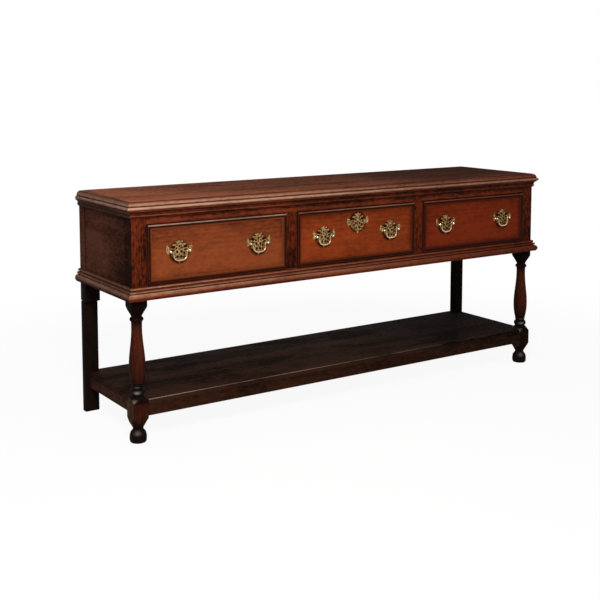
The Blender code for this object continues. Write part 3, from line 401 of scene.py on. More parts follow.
PLANK_DEPTH = 0.027
HEAD_ROUND, PLANK_ROUND, TONGUE_ROUND = 0.0025, 0.0045, 0.001
NICK = 0.001                 # gap of the worn joint
TONGUE = 0.03                # how far a splice's hidden tongue goes up and down from it
CORE = 0.008                 # how far the tongue stays inside the faces
for side, splice in (("left", 0.424), ("right", 0.499)):
    low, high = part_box(f"rear_leg_{side}")
    front = high.y - PLANK_DEPTH
    bm = bmesh.new()
    block(bm, (low.x, low.y, splice), high, HEAD_ROUND)
    block(bm, (low.x, front, 0.0), (high.x, high.y, splice - NICK), PLANK_ROUND, segments=3)
    block(bm, (low.x + CORE, front + CORE, splice - TONGUE), (high.x - CORE, high.y - CORE, splice + TONGUE),
          TONGUE_ROUND)
    sliced(bm, (0.0, 0.0, UNDERSIDE), (0.0, 0.0, 1.0))
    # Above the underside, the faces at the ends take the end panels' finish, with its painted shade
    for face in bm.faces:
        if face.calc_center_median().z > UNDERSIDE and abs(face.normal.x) > SIDEWAYS:
            face.material_index = 1
    stand_in(bm, f"plank_leg_{side}", (plank_oak, panel_oak), "carcass", "dark_oak", f"rear_leg_{side}")


# Carcass frame
# Top rail, bottom rail and two muntins of quartered oak, tenoned and pegged, with a red-brown wax
# finish that has gone dark in streaks.

# Painted shade darkens the rails to the right, where the light falls off, and under the moulding of the top
rail_oak = oak("waxed_rail_oak", 'X', "#240e07", "#6e2e19", "#7c3c22", (0.0, 0.10, -0.70),
               rings=0.25, streaks=0.4, pore=(24.0, 150.0), clouds=0.4, flakes=0.4, rough=0.40, shine=0.02,
               smoke_and_shade=(("X", -0.2, 0.8, 0.30), ("Z", 0.768, 0.779, 0.4)))
dress(rail_oak, "top_rail", "bottom_rail")
dress(post_oak, "muntin_left", "muntin_right")


# End panels, back panel and runners
# The ends are single boards in grooves, stained dark over a brown ground. The back, the rear rail
# and the runners are dry unpolished oak that only shows from behind, below or with a drawer out.

dress(panel_oak, "end_panel_left", "end_panel_right")
dry_oak_long, dry_oak_deep = [
    oak(name, grain, "#3d2919", "#8a6647", "#8a6647", pith,
        rings=0.3, streaks=0.4, clouds=0.4, rough=0.72, shine=0.1)
    for name, grain, pith in (("dry_oak_lengthwise", 'X', (0.0, 0.05, -0.62)),
                              ("dry_oak_front_to_back", 'Y', (0.10, 0.0, -0.50)))]
dress(dry_oak_long, "back_panel", "rear_rail")
dress(dry_oak_deep, "end_runner_left", "end_runner_right", "muntin_runner_left", "muntin_runner_right")


# Pot board
# A low shelf of wide oak boards on four tenoned rails, notched round the legs. It is the darkest
# wood of the piece; painted shade deepens it to the right, and the front arris is worn and painted
# with a highlight.

JOINT_LINE = 0.0011          # a shut joint is finer; it is drawn wide enough to show
POT_JOINTS = ((-0.075, 0.05), (0.085, 0.1))      # each joint, and how much darker the board behind it is


def jointed(tree, place, joints):
    """Marks of boards laid edge to edge: a dark line at each joint, and a darker board behind it."""
    depth = add(tree, "SeparateXYZ", {0: place}, give="Y")
    tone = 0.0
    for joint, darker in joints:
        behind = add(tree, "Math", {0: depth, 1: joint}, operation='GREATER_THAN')
        line = add(tree, "Math", {0: depth, 1: joint, 2: JOINT_LINE}, operation='COMPARE')
        step = add(tree, "Math", {0: behind, 1: darker, 2: line}, operation='MULTIPLY_ADD')
        tone = add(tree, "Math", {0: tone, 1: step}, operation='ADD')
    return tone


def pot_joints(tree, place):
    """Joints of the pot board."""
    return jointed(tree, place, POT_JOINTS)


# The board is lighter along the front, and painted shade darkens it to the right, as on its rails
pot_oak = oak("smoked_and_shaded_pot_board_oak", 'X', "#0d0806", "#301d14", "#8c6c5e", (0.0, 0.06, -0.05), ring=0.012,
              rings=0.25, streaks=0.35, clouds=0.6, flakes=0.4, rough=0.7, shine=0.01,
              smoke_and_shade=(("Y", -0.10, -0.20, -0.30), ("X", 0.0, 0.75, 0.6)), marks=pot_joints)
# Painted shade darkens the front and rear rails to the right
pot_rail_oak = oak("smoked_and_shaded_pot_rail_oak", 'X', "#0e0705", "#331b10", "#4c3022", (0.0, 0.06, -0.10),
                   rings=0.25, streaks=0.4, clouds=0.3, flakes=0.5, rough=0.5, shine=0.015,
                   smoke_and_shade=(("X", -0.4, 0.6, 0.2),))
pot_rail_oak_ends = oak("smoked_pot_end_rail_oak", 'Y', "#130b08", "#38200f", "#4c3022", (0.9, 0.0, -0.05),
                        rings=0.25, streaks=0.4, clouds=0.4, flakes=0.5, rough=0.6, shine=0.015)
dress(pot_rail_oak, "pot_rail_front", "pot_rail_rear")
dress(pot_rail_oak_ends, "pot_rail_left", "pot_rail_right")


def drawn_out(bm, face, run):
    """Extrudes a face, which stays as the end that it starts from."""
    swept = bmesh.ops.extrude_face_region(bm, geom=[face], use_keep_orig=True)["geom"]
    bmesh.ops.translate(bm, vec=run, verts=[part for part in swept if isinstance(part, bmesh.types.BMVert)])


NOTCH_X = 0.8925             # inner faces of the notches round the legs
NOTCH_FRONT, NOTCH_REAR = -0.1595, 0.2105
WORN_ARRIS = 0.0016
RUBBED_WIDTH, CLEAN_LINE = 1.2 * WORN_ARRIS, 1.5 * WORN_ARRIS    # past the clean line nothing is rubbed
# The pale line along the front arris is wear and a painted highlight, strong at the left and faint at the
# right, where the light falls off
LEFT_ARRIS_WEAR_AND_LIGHT, RIGHT_ARRIS_WEAR_AND_LIGHT = 1.0, 0.1
low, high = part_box("pot_board")
right = [(NOTCH_X, low.y), (NOTCH_X, NOTCH_FRONT), (high.x, NOTCH_FRONT), (high.x, NOTCH_REAR),
         (NOTCH_X, NOTCH_REAR), (NOTCH_X, high.y)]
bm, rubbed_and_lit = worn_and_lit_mesh()
outline = right + [(-x, y) for x, y in reversed(right)]
under = bm.faces.new([bm.verts.new((x, y, low.z)) for x, y in outline])
drawn_out(bm, under, (0.0, 0.0, high.z - low.z))
softened(bm, bm.edges[:], WORN_ARRIS)
for beside in (Vector((0.0, 1.0, 0.0)), Vector((0.0, 0.0, -1.0))):
    sliced(bm, Vector((0.0, low.y, high.z)) + beside * CLEAN_LINE, beside)
for vertex in bm.verts:
    on_arris = vertex.co.y < low.y + RUBBED_WIDTH and vertex.co.z > high.z - RUBBED_WIDTH
    vertex[rubbed_and_lit] = (LEFT_ARRIS_WEAR_AND_LIGHT if vertex.co.x < 0 else RIGHT_ARRIS_WEAR_AND_LIGHT) if on_arris else 0.0
stand_in(bm, "pot_boards", (pot_oak,), "carcass", "dark_oak", "pot_board")


# Waist and cove mouldings
# Oak strips worked with moulding planes, mitred at the front corners and nailed to the carcass: two
# reeds over a torus under the drawers, and a cove with a bead under the top. Crests are rubbed pale
# and painted with highlights, and hollows and undersides painted with shade.

FACE_Y = -0.217              # face of the carcass
END_X = 0.950
BACK_Y = 0.238
WALL = 0.0003                # joint between moulding and carcass
OVERRUN = 0.1                # length of a strip that its mitre cuts off
STRIP_CUTS = 48
WAVER = 0.00035              # a hand plane leaves the strip this uneven
WAVER_RUN = (9, 9, 40)       # waves of that in a metre, along X, Y and Z
CREST = 4 * WAVER            # what stands out further is planed back
GRIME_AND_SHADE = -0.7                 # dirt and old wax that cloths don't reach, and painted shade under the members
END_GRIME_AND_SHADE = 0.5              # share of the front's grime and painted shade that lies in the grooves of the ends
# The pale crests of the front are worn and painted with highlights, brightest at its left, where the light
# falls
WEAR_AND_HIGHLIGHT_ALONG = ((-0.95, 1.0), (-0.8, 1.0), (-0.55, 0.75), (-0.3, 0.55), (0.1, 0.35), (0.45, 0.15), (0.95, 0.05))


def wavered(bm):
    """Planes each crest back a little, slowly along the strip, as hand work does."""
    for vertex in bm.verts:
        slow = 0.5 + 0.5 * noise.noise(Vector([at * run for at, run in zip(vertex.co, WAVER_RUN)]))
        if FACE_Y - vertex.co.y > CREST:
            vertex.co.y += slow * WAVER
        if abs(vertex.co.x) - END_X > CREST:
            vertex.co.x -= slow * WAVER * (1 if vertex.co.x > 0 else -1)


def strip(moulding, place, section, finish, end, end_wear):
    """Strip of a section of (projection, height, wear and painted light): along the front where end is 0, or
    along an end.
    """
    bm, rubbed_and_lit = worn_and_lit_mesh()
    start = -END_X - OVERRUN if end == 0 else FACE_Y - OVERRUN
    run = Vector((2 * END_X + 2 * OVERRUN, 0.0, 0.0)) if end == 0 else Vector((0.0, BACK_Y - start, 0.0))
    loop = []
    for out, z, wear_and_light in section:
        point = (start, FACE_Y - out, z) if end == 0 else (end * (END_X + out), start, z)
        loop.append(bm.verts.new(point))
        loop[-1][rubbed_and_lit] = wear_and_light if end == 0 else wear_and_light * (end_wear if wear_and_light > 0 else END_GRIME_AND_SHADE)
    drawn_out(bm, bm.faces.new(loop), run)
    lengthwise = [edge for edge in bm.edges if edge.calc_length() > run.length / 2]
    bmesh.ops.subdivide_edges(bm, edges=lengthwise, cuts=STRIP_CUTS)
    for side in (-1, 1) if end == 0 else (end,):
        mitre = (side, 1.0, 0.0) if end == 0 else (-side, -1.0, 0.0)
        sliced(bm, (side * END_X, FACE_Y, 0.0), mitre, cut_off=True)
    # Wear and painted highlights fade along the front to the right
    for vertex in bm.verts:
        if vertex[rubbed_and_lit] > 0 and end == 0:
            vertex[rubbed_and_lit] *= between(WEAR_AND_HIGHLIGHT_ALONG, vertex.co.x)
    wavered(bm)
    stand_in(bm, f"{moulding}_strip_{place}", (finish,), "carcass", "moulding_oak",
             f"{moulding}_moulding_{place}")


def member(centre, radii, start, end, steps, wear_and_light):
    """Points of one rounded member, each with its share of wear and painted light from a table by the angle
    on its round.
    """
    points = arc(centre, radii, start, end, steps)
    return [(*point, between(wear_and_light, start + (end - start) * i / steps)) for i, point in enumerate(points)]


def under_waist(tree, place):
    """Painted shade on the lower half of the torus at the ends."""
    height = add(tree, "SeparateXYZ", {0: place}, give="Z")
    return add(tree, "MapRange", {"Value": height, "From Min": 0.513, "From Max": 0.505, "To Max": 0.6})


# To the right the front mouldings darken, painted shade where the light falls off
moulding_oak = oak("planed_moulding_oak", 'X', "#1e0903", "#6c2d17", "#ae8064", (0.0, 0.12, -0.55),
                   rings=0.2, streaks=0.3, clouds=0.3, flakes=0.3, rough=0.28, shine=0.02,
                   smoke_and_shade=(("X", -0.3, 0.95, 0.18),))
# The ends carry painted shade under the torus
moulding_oak_ends = oak("planed_end_moulding_oak", 'Y', "#22120b", "#533021", "#92705e", (0.85, 0.0, -0.55),
                        rings=0.2, streaks=0.3, clouds=0.3, flakes=0.3, rough=0.40, shine=0.006,
                        marks=under_waist)
# Wear by the angle round each member, with pale painted highlights on faces towards the light and painted
# shade in grooves and under members
REED_WEAR_AND_LIGHT = ((-90, -0.3), (-70, 0.3), (-45, 0.9), (-10, 0.9), (15, 0.4), (40, -0.1), (90, -0.4))
TORUS_WEAR_AND_LIGHT = ((-80, -0.5), (-25, -0.3), (5, 0.1), (25, 0.5), (50, 0.8), (72, 0.7), (88, -0.2))
waist = [
    (WALL, 0.5455, 0.0),
    *member((0.003, 0.5405), (0.005, 0.005), 90, -90, 12, REED_WEAR_AND_LIGHT),
    (0.0030, 0.5345, -0.3), (0.0080, 0.5345, -0.3),
    *member((0.008, 0.5295), (0.005, 0.005), 90, -90, 12, REED_WEAR_AND_LIGHT),
    (0.0080, 0.5235, -0.3), (0.0120, 0.5235, -0.3),
    *member((0.012, 0.5102), (0.009, 0.0132), 88, 0, 12, TORUS_WEAR_AND_LIGHT),
    *member((0.0165, 0.5102), (0.0045, 0.0072), -9, -80, 8, TORUS_WEAR_AND_LIGHT),
    (0.0175, 0.5029, -0.3), (0.0175, UNDERSIDE, 0.0), (WALL, UNDERSIDE, 0.0)]

BEAD_WEAR_AND_LIGHT = ((-85, GRIME_AND_SHADE), (-15, -0.4), (25, 0.3), (50, 0.1), (85, -0.4))
# The hollow of the cove, under the nosing, is darkened with painted shade
cove = [
    (WALL, UNDER_TOP, 0.0), (0.0145, UNDER_TOP, 0.0), (0.0145, 0.8037, 0.1),
    *[(out, z, -0.5) for out, z in arc((0.0145, 0.7900), (0.0095, 0.0135), 92, 180, 14)],
    (0.0041, 0.7899, -0.5),
    *member((0.00325, 0.78625), (0.0035, 0.00365), 85, -85, 12, BEAD_WEAR_AND_LIGHT),
    (0.0025, 0.7822, GRIME_AND_SHADE), (0.0025, 0.7800, -0.3), (WALL, 0.7800, 0.0)]

for moulding, section, end_wear in (("waist", waist, 0.6), ("cove", cove, 0.0)):
    strip(moulding, "front", section, moulding_oak, 0, end_wear)
    strip(moulding, "left", section, moulding_oak_ends, -1, end_wear)
    strip(moulding, "right", section, moulding_oak_ends, 1, end_wear)


# Top
# Three wide oak boards jointed edge to edge, with a thumb moulding worked on the front and both ends
# and the back sawn flush. The flat is dull with wax; its edge is rubbed pale where it is worn and
# painted with highlights.

TOP_JOINTS = ((-0.075, 0.03), (0.085, 0.04))
SLANT = -0.09                # the dark margin runs out of square by this much per metre of depth


def top_stains(tree, place):
    """Joints of the top, and its dark margin at the left."""
    across, depth = [add(tree, "SeparateXYZ", {0: place}, give=axis) for axis in "XY"]
    along = add(tree, "Math", {0: depth, 1: SLANT, 2: across}, operation='MULTIPLY_ADD')
    margin = add(tree, "MapRange", {"Value": along, "From Min": -0.925, "From Max": -0.948, "To Max": 0.30},
                 **SOFT)
    return add(tree, "Math", {0: jointed(tree, place, TOP_JOINTS), 1: margin}, operation='ADD')


# The front is rubbed lighter, and the top darkens to the right, partly with smoke and partly with painted
# shade where the light falls off
top_oak = oak("waxed_top_oak", 'X', "#382017", "#834a33", "#8f5a40", (0.0, 0.02, -0.75), ring=0.011,
              rings=0.15, streaks=0.25, clouds=0.28, flakes=0.35, rough=0.6, shine=0.002,
              smoke_and_shade=(("Y", -0.08, -0.20, -0.20), ("X", -1.15, -0.15, 0.54), ("X", 0.08, 0.45, 0.30)),
              marks=top_stains)
# The edge's pale colour is wear and painted highlights
top_edge_oak = oak("top_edge_oak_worn_and_lit", 'X', "#1e0a05", "#6a321c", "#ae8870", (0.0, 0.12, -0.55),
                   rings=0.2, streaks=0.3, clouds=0.3, flakes=0.3, rough=0.28, shine=0.02)
UPPER = 0.8368               # the flat of the top
QUIRK_Z = 0.8203             # groove between the ovolo and the nosing
OVOLO_WEAR_AND_LIGHT = ((2, -0.2), (10, 0.5), (22, 0.8), (40, 0.5), (65, 0.0), (86, -0.3))
NOSING_WEAR_AND_LIGHT = ((-90, GRIME_AND_SHADE), (-55, -0.3), (-30, 0.5), (5, 1.0), (40, 0.9), (70, 0.2), (90, -0.3))
OVOLO_FADE, NOSING_FADE = 0.1, 0.5       # shares of that wear and painted highlight at the right end, where the light falls off
edge = [
    (0.0030, UPPER, 0.2), (0.0030, 0.8351, 0.0), (0.0036, 0.8348, 0.0),
    *member((0.0030, 0.8208), (0.0105, 0.0140), 86, 2, 14, OVOLO_WEAR_AND_LIGHT),
    (0.0135, 0.8206, -0.2), (0.0122, QUIRK_Z, -0.5), (0.0122, 0.8195, -0.5),
    *member((0.0120, 0.81315), (0.0080, 0.00635), 90, -90, 18, NOSING_WEAR_AND_LIGHT)]


def top_ring(out, z):
    """Corners of the top at one level of its moulded edge."""
    return [(-END_X - out, FACE_Y - out, z), (END_X + out, FACE_Y - out, z), (END_X + out, BACK_Y, z),
            (-END_X - out, BACK_Y, z)]


def grown(bm, rim, corners):
    """Extrudes a rim of edges to new corners, and gives the new rim and its points."""
    rim = edges_in(bmesh.ops.extrude_edge_only(bm, edges=rim)["geom"])
    points = {vertex for part in rim for vertex in part.verts}
    for vertex in points:
        vertex.co = min(corners, key=lambda corner: (Vector(corner) - vertex.co).length)
    return rim, points


bm, rubbed_and_lit = worn_and_lit_mesh()
flat = bm.faces.new([bm.verts.new(corner) for corner in top_ring(*edge[0][:2])])
rim = list(flat.edges)
for out, z, wear_and_light in edge[1:]:
    rim, points = grown(bm, rim, top_ring(out, z))
    fade = OVOLO_FADE if z > QUIRK_Z else NOSING_FADE
    for vertex in points:
        vertex[rubbed_and_lit] = wear_and_light * fade if wear_and_light > 0 and vertex.co.x > 0 else wear_and_light
bmesh.ops.contextual_create(bm, geom=rim)
bmesh.ops.recalc_face_normals(bm, faces=bm.faces)
# The back left corner is broken off at a slant, measured along the back and along the end
BROKEN = (0.055, 0.014)
lower_round = edge[-5][0]    # how far the underside of the nosing stands out
sliced(bm, (-END_X - lower_round + BROKEN[0], BACK_Y, 0.0), (-BROKEN[1], BROKEN[0], 0.0), cut_off=True)
bmesh.ops.recalc_face_normals(bm, faces=bm.faces)
LEVEL = 0.999                # least share of a flat's normal along Z
FLAT_AREA = 0.1              # more than any face of the edge
for face in bm.faces:
    face.material_index = 2 if abs(face.calc_center_median().x) > END_X else 1
    if abs(face.normal.z) > LEVEL and face.calc_area() > FLAT_AREA:
        face.material_index = 0
stand_in(bm, "moulded_top", (top_oak, top_edge_oak, moulding_oak_ends), "carcass", "top_oak", "top_board")


# Drawers
# Oak linings lapped and dovetailed to the fronts, left dry. The fronts are clean quartered oak with an
# orange glow, darker by the border, at the top and round the pulls, with old wax and painted shade; the
# border is a dark moulding glued on, with a painted highlight on its top bead.

PITCH = 0.610
DRAWERS = {"left": -PITCH, "middle": 0.0, "right": PITCH}
for name in DRAWERS:
    dress(dry_oak_deep, *[f"{name}_drawer_side_{side}" for side in ("left", "right")])
    dress(dry_oak_long, f"{name}_drawer_back", f"{name}_drawer_bottom")

FIELD_HALF = (0.2635, 0.0851)        # half the length and height of the field inside the border
FIELD_RIM = (0.020, 0.016)           # width of its darker rim at the ends and along the edges
FIELD_MIDDLE = 0.6514
PULL_REACH = 0.160
PULL_Z = 0.656
ESCUTCHEON_Z = 0.696
CAKED_SHADOW_FROM, CAKED_SHADOW_TO = 0.047, 0.029  # radii of the black wax and painted shadow behind a plate
RIM_TONE = 0.20


def field_shadow(tree, place):
    """Old wax and painted shade: darker towards the border, and black behind each pull and the escutcheon."""
    along, height = [add(tree, "SeparateXYZ", {0: place}, give=axis) for axis in "XZ"]
    x = add(tree, "Math", {0: along, 1: -PITCH / 2, 2: PITCH / 2}, operation='WRAP')
    x = add(tree, "Math", {0: x}, operation='ABSOLUTE')
    z = add(tree, "Math", {0: height, 1: FIELD_MIDDLE}, operation='SUBTRACT')
    z = add(tree, "Math", {0: z}, operation='ABSOLUTE')
    rims = [add(tree, "MapRange", {"Value": away, "From Min": half - width, "From Max": half}, **SOFT)
            for away, half, width in zip((x, z), FIELD_HALF, FIELD_RIM)]
    rim = add(tree, "Math", {0: rims[0], 1: rims[1]}, operation='MAXIMUM')

    def caked_and_shaded(across, upright):
        """Black wax and painted shadow behind a plate, from the distances to its middle."""
        away = add(tree, "CombineXYZ", {0: across, 1: upright})
        away = add(tree, "VectorMath", {0: away}, operation='LENGTH', give="Value")
        return add(tree, "MapRange", {"Value": away, "From Min": CAKED_SHADOW_FROM, "From Max": CAKED_SHADOW_TO}, **SOFT)

    dx = add(tree, "Math", {0: x, 1: PULL_REACH}, operation='SUBTRACT')
    dz = add(tree, "Math", {0: height, 1: ESCUTCHEON_Z}, operation='SUBTRACT')
    wax = add(tree, "Math", {0: caked_and_shaded(dx, z), 1: caked_and_shaded(along, dz)}, operation='MAXIMUM')
    return add(tree, "Math", {0: rim, 1: RIM_TONE, 2: wax}, operation='MULTIPLY_ADD')


# The fields and hollows are darker and redder to the right, partly their own tone and partly painted shade
# where the light falls off
FIELD_TONES = {"left": ("#2c0d05", "#7e3d1f"), "middle": ("#2c0b04", "#853717"),
               "right": ("#260802", "#762a12")}
# Painted highlights on the top bead of each border, brightest on the left drawer where the light falls
BEAD_HIGHLIGHT_TONES = {"left": "#a8826f", "middle": "#94624e", "right": "#7a4433"}
HOLLOW_TONES = {"left": "#7a391d", "middle": "#62280f", "right": "#521c0c"}
BORDER_PITH = (0.0, 0.10, -0.60)
border_oak = oak("dark_border_oak", 'X', "#120604", "#2c120a", "#3d1b10", BORDER_PITH,
                 rings=0.25, streaks=0.4, clouds=0.35, rough=0.36, shine=0.025)
# Section of the border, as (inset, height, wear and painted light): a bead, and a hollow that runs into the
# field
HOLLOW = 0.0075              # inset where the hollow begins
BORDER_BEAD_WEAR_AND_LIGHT = ((5, -0.3), (45, 0.0), (80, 0.7), (120, 1.0), (150, 0.5), (175, GRIME_AND_SHADE))
HOLLOW_WEAR = ((0.0085, 0.0), (0.0140, 0.6), (0.0180, 1.0))      # rubbed back with the field
border = [
    (0.0, 0.0003, 0.0), (0.0, 0.0050, 0.0),
    *member((0.0035, 0.0050), (0.0035, 0.0035), 175, 5, 12, BORDER_BEAD_WEAR_AND_LIGHT),
    (0.0070, 0.0048, 0.0),
    *[(w, p, between(HOLLOW_WEAR, w)) for w, p in arc((0.0180, 0.0118), (0.0108, 0.0100), 200, 270, 8)],
    (0.0180, 0.0003, 0.6)]


def border_ring(low, high, inset, proud):
    """Corners of a border at one line of its section."""
    y = high.y - (proud - border[0][1])
    left, right, foot, head = low.x + inset, high.x - inset, low.z + inset, high.z - inset
    return [(left, y, foot), (right, y, foot), (right, y, head), (left, y, head)]


for name, middle in DRAWERS.items():
    deep, body = FIELD_TONES[name]
    # The upper part of each field is darker, partly old wax and partly painted shade under the top
    field_oak = oak(f"waxed_field_oak_{name}", 'X', deep, body, body, (middle, 0.13, -0.60), ring=0.012,
                    rings=0.10, streaks=0.10, clouds=0.32, flakes=0.22, rough=0.45, shine=0.02,
                    smoke_and_shade=(("Z", 0.64, 0.735, 0.18),), marks=field_shadow)
    dress(field_oak, f"{name}_drawer_front")
    # The top run of the border is a lit copy, its bead pale with a painted highlight
    border_oak_lit = oak(f"lit_border_oak_{name}", 'X', "#140806", "#35170d", BEAD_HIGHLIGHT_TONES[name],
                           BORDER_PITH, rings=0.2, streaks=0.3, clouds=0.3, rough=0.30, shine=0.02)
    hollow_oak = oak(f"hollow_border_oak_{name}", 'X', "#1c0a05", "#2c120a", HOLLOW_TONES[name],
                     BORDER_PITH, rings=0.1, streaks=0.1, clouds=0.2, flakes=0.1, rough=0.40, shine=0.02)
    low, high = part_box(f"{name}_drawer_moulding")
    bm, rubbed_and_lit = worn_and_lit_mesh()
    first = [bm.verts.new(corner) for corner in border_ring(low, high, *border[0][:2])]
    rim = start = [bm.edges.new((first[i], first[(i + 1) % 4])) for i in range(4)]
    for inset, proud, wear_and_light in border[1:]:
        rim, points = grown(bm, rim, border_ring(low, high, inset, proud))
        for vertex in points:
            vertex[rubbed_and_lit] = wear_and_light
    bmesh.ops.bridge_loops(bm, edges=[*rim, *start])
    for face in bm.faces:
        at = face.calc_center_median()
        # The top run takes the lit copy
        face.material_index = 1 if at.z > high.z - border[-1][0] - WELD else 0
        if min(at.x - low.x, high.x - at.x, at.z - low.z, high.z - at.z) > HOLLOW:
            face.material_index = 2
    stand_in(bm, f"{name}_drawer_border", (border_oak, border_oak_lit, hollow_oak), f"{name}_drawer",
             "moulding_oak", f"{name}_drawer_moulding")


# Pulls and escutcheon
# Cast and pierced brass plates with filed edges. Two posts go through each drawer front to nuts inside,
# and a bail swings in them. The brass is aged brown in its hollows and rubbed bright where it is held.

MM = 0.001
MIDDLE_LINE = 0.01           # a point this few millimetres from the middle line isn't mirrored
FIELD_Y = -0.216             # face of the drawer fronts
PLATE = 0.0020
FILED = 0.0005               # round filed on a plate's edges
BEDDING = 0.0003             # gap behind a plate
PLATE_WEAR = 0.15


def mirrored(half):
    """Whole outline from its right half, which runs from the top middle to the bottom middle."""
    return half + [(-x, z) for x, z in reversed(half) if x > MIDDLE_LINE]


def plate_outline():
    """Bat-wing plate in millimetres about its post line: lobed crown, horned wings, pointed foot."""
    return mirrored([
        *arc((0, 31.5), (6, 6), 90, 15, 8),
        *arc((10.6, 32), (3.6, 3.4), 150, -80, 10),
        (9.4, 27), (9, 25.4), (10.4, 24),
        *bow((12.5, 24.4), (16.5, 26.4), (21.3, 25.2), 6),
        *arc((21.9, 22.4), (3.4, 2.8), 85, -80, 8),
        *arc((19.5, 14.4), (4.7, 4.8), 120, 260, 10),
        *bow((24, 9.6), (33, 11), (42.5, 17.5), 9),
        (44.2, 19.6), (44.8, 22), (44.4, 25),
        *bow((44.6, 27), (56, 13), (47.8, -6.6), 18),
        *arc((43.4, -5.6), (4, 3.9), -30, -140, 7),
        *bow((38, -6.4), (34, -5), (30.6, -9.2), 6),
        *arc((26.2, -14), (4.4, 4.2), 40, -100, 9),
        *bow((24, -21), (20, -29), (5.4, -31), 9),
        *bow((4.6, -33), (3.8, -38.5), (0, -43.5), 5)])


def oval(x, z, width, height, tilt=0.0, sides=18):
    """Piercing: an oval turned by its tilt, in degrees."""
    turn = Matrix.Rotation(radians(tilt), 2)
    round_hole = arc((0, 0), (width / 2, height / 2), 0, 360 * (sides - 1) / sides, sides - 1)
    return [(x + p.x, z + p.y) for p in [turn @ Vector(point) for point in round_hole]]


# Holes right of the middle, as (x, z, width, height, tilt)
WING_HOLES = ((8.8, 19.8, 4.2, 6.2, -40), (10.6, 10, 6.6, 8.4, 28), (24, 3.6, 13, 6.4, 13),
              (36.2, 9.8, 7.8, 4.6, 22), (8.6, -2.8, 9, 11.4, -24), (18.9, -9.4, 8, 11.6, -26),
              (7, -20.2, 9.2, 10.8, 24), (18, -21.6, 6, 8.8, -42), (28.7, -5, 5.8, 5.6, 0),
              (26.2, -13.8, 4.4, 4.8, 0))


def meshed(curve):
    """Mesh of a curve, and its layer for how far each point is rubbed."""
    sketch = placed(curve.name, curve)
    data = bpy.data.meshes.new_from_object(sketch.evaluated_get(bpy.context.evaluated_depsgraph_get()))
    bpy.data.objects.remove(sketch)
    bm = bmesh.new()
    bm.from_mesh(data)
    bpy.data.meshes.remove(data)
    return bm, bm.verts.layers.float.new("rubbed_and_lit")


def cast_plate(x, z, *middle_holes):
    """Plate on a drawer front, pierced in its wings and in its own middle, with its edges filed round."""
    holes = [*middle_holes, oval(0, -11.4, 4.4, 6.8)]
    for side in (-1, 1):
        holes += [oval(side * hx, hz, wide, high, side * tilt) for hx, hz, wide, high, tilt in WING_HOLES]
    curve = bpy.data.curves.new("plate", 'CURVE')
    curve.dimensions = '2D'
    curve.fill_mode = 'BOTH'
    curve.extrude = PLATE / 2 - FILED
    curve.bevel_depth = FILED
    curve.bevel_resolution = 1
    curve.offset = -FILED
    for ring in (plate_outline(), *holes):
        spline = curve.splines.new('POLY')
        spline.points.add(len(ring) - 1)
        for point, (px, pz) in zip(spline.points, ring):
            point.co = (px * MM, pz * MM, 0.0, 1.0)
        spline.use_cyclic_u = True
    bm, rubbed_and_lit = meshed(curve)
    bmesh.ops.remove_doubles(bm, verts=bm.verts, dist=WELD)
    bmesh.ops.rotate(bm, matrix=Matrix.Rotation(pi / 2, 3, 'X'), verts=bm.verts)
    bmesh.ops.translate(bm, vec=(x, FIELD_Y - BEDDING - PLATE / 2, z), verts=bm.verts)
    for vertex in bm.verts:
        vertex[rubbed_and_lit] = PLATE_WEAR if vertex.co.y < FIELD_Y - PLATE else 0.0
    return bm, rubbed_and_lit


def brass(name, dark, bright, rough):
    """Old cast brass: brown tarnish in the hollows of a 5 mm chasing, a satin where it is rubbed, and painted
    shade that darkens it to the right.
    """
    made, tree, shader, place = blank(name)
    patches = add(tree, "TexNoise", {"Vector": place, "Scale": 200.0, "Detail": 2.0, "Roughness": 0.5})
    tarnish = add(tree, "MapRange", {"Value": patches, "From Min": 0.40, "From Max": 0.60}, **SOFT)
    worn_and_lit = add(tree, "Attribute", attribute_name="rubbed_and_lit", give="Fac")
    shown = add(tree, "Math", {0: tarnish, 1: 0.7, 2: worn_and_lit}, operation='MULTIPLY_ADD')
    # Painted shade: the brass darkens to the right, where the light falls off
    smoke_and_shade = deepening(tree, place, "X", -0.2, 0.8, 0.25)
    shown = add(tree, "Math", {0: shown, 1: smoke_and_shade}, operation='SUBTRACT', use_clamp=True)
    colour = add(tree, "Mix", {0: shown, 6: linear(dark), 7: linear(bright)}, data_type='RGBA', give=2)
    dull = add(tree, "MapRange", {"Value": shown, "To Min": rough + 0.16, "To Max": rough})
    chased = add(tree, "Bump", {"Height": patches, "Strength": 0.6, "Distance": 0.0015})
    feed(tree, shader, {"Base Color": colour, "Roughness": dull, "Normal": chased, "Metallic": 1.0})
    return made


plate_brass = brass("aged_plate_brass", "#4a3219", "#c09c68", 0.36)
bail_brass = brass("rubbed_bail_brass", "#6e5630", "#d2b28a", 0.28)
post_brass = brass("polished_post_brass", "#8a6c40", "#ecd6aa", 0.16)
HINGE_Y = -0.2263
POST_REACH = 0.0365
STEM_END = -0.1920
POST_STEPS = 24
HEAD_WEAR, NECK_WEAR = 0.8, 0.3
# Post from its round head, through a waisted neck and a collar, to the stem in the drawer front
post_profile = [
    (0.0, HINGE_Y - 0.0054),
    *[(r, HINGE_Y - d) for r, d in arc((0.0, 0.0), (0.0050, 0.0054), 82, -48, 12)],
    (0.0030, HINGE_Y + 0.0048), (0.0033, HINGE_Y + 0.0056), (0.0042, FIELD_Y - 0.0034),
    (0.0048, FIELD_Y - 0.0026), (0.0048, FIELD_Y - 0.0020), (0.0024, FIELD_Y - 0.0012),
    (0.0024, STEM_END - 0.0004), (0.0020, STEM_END), (0.0, STEM_END)]

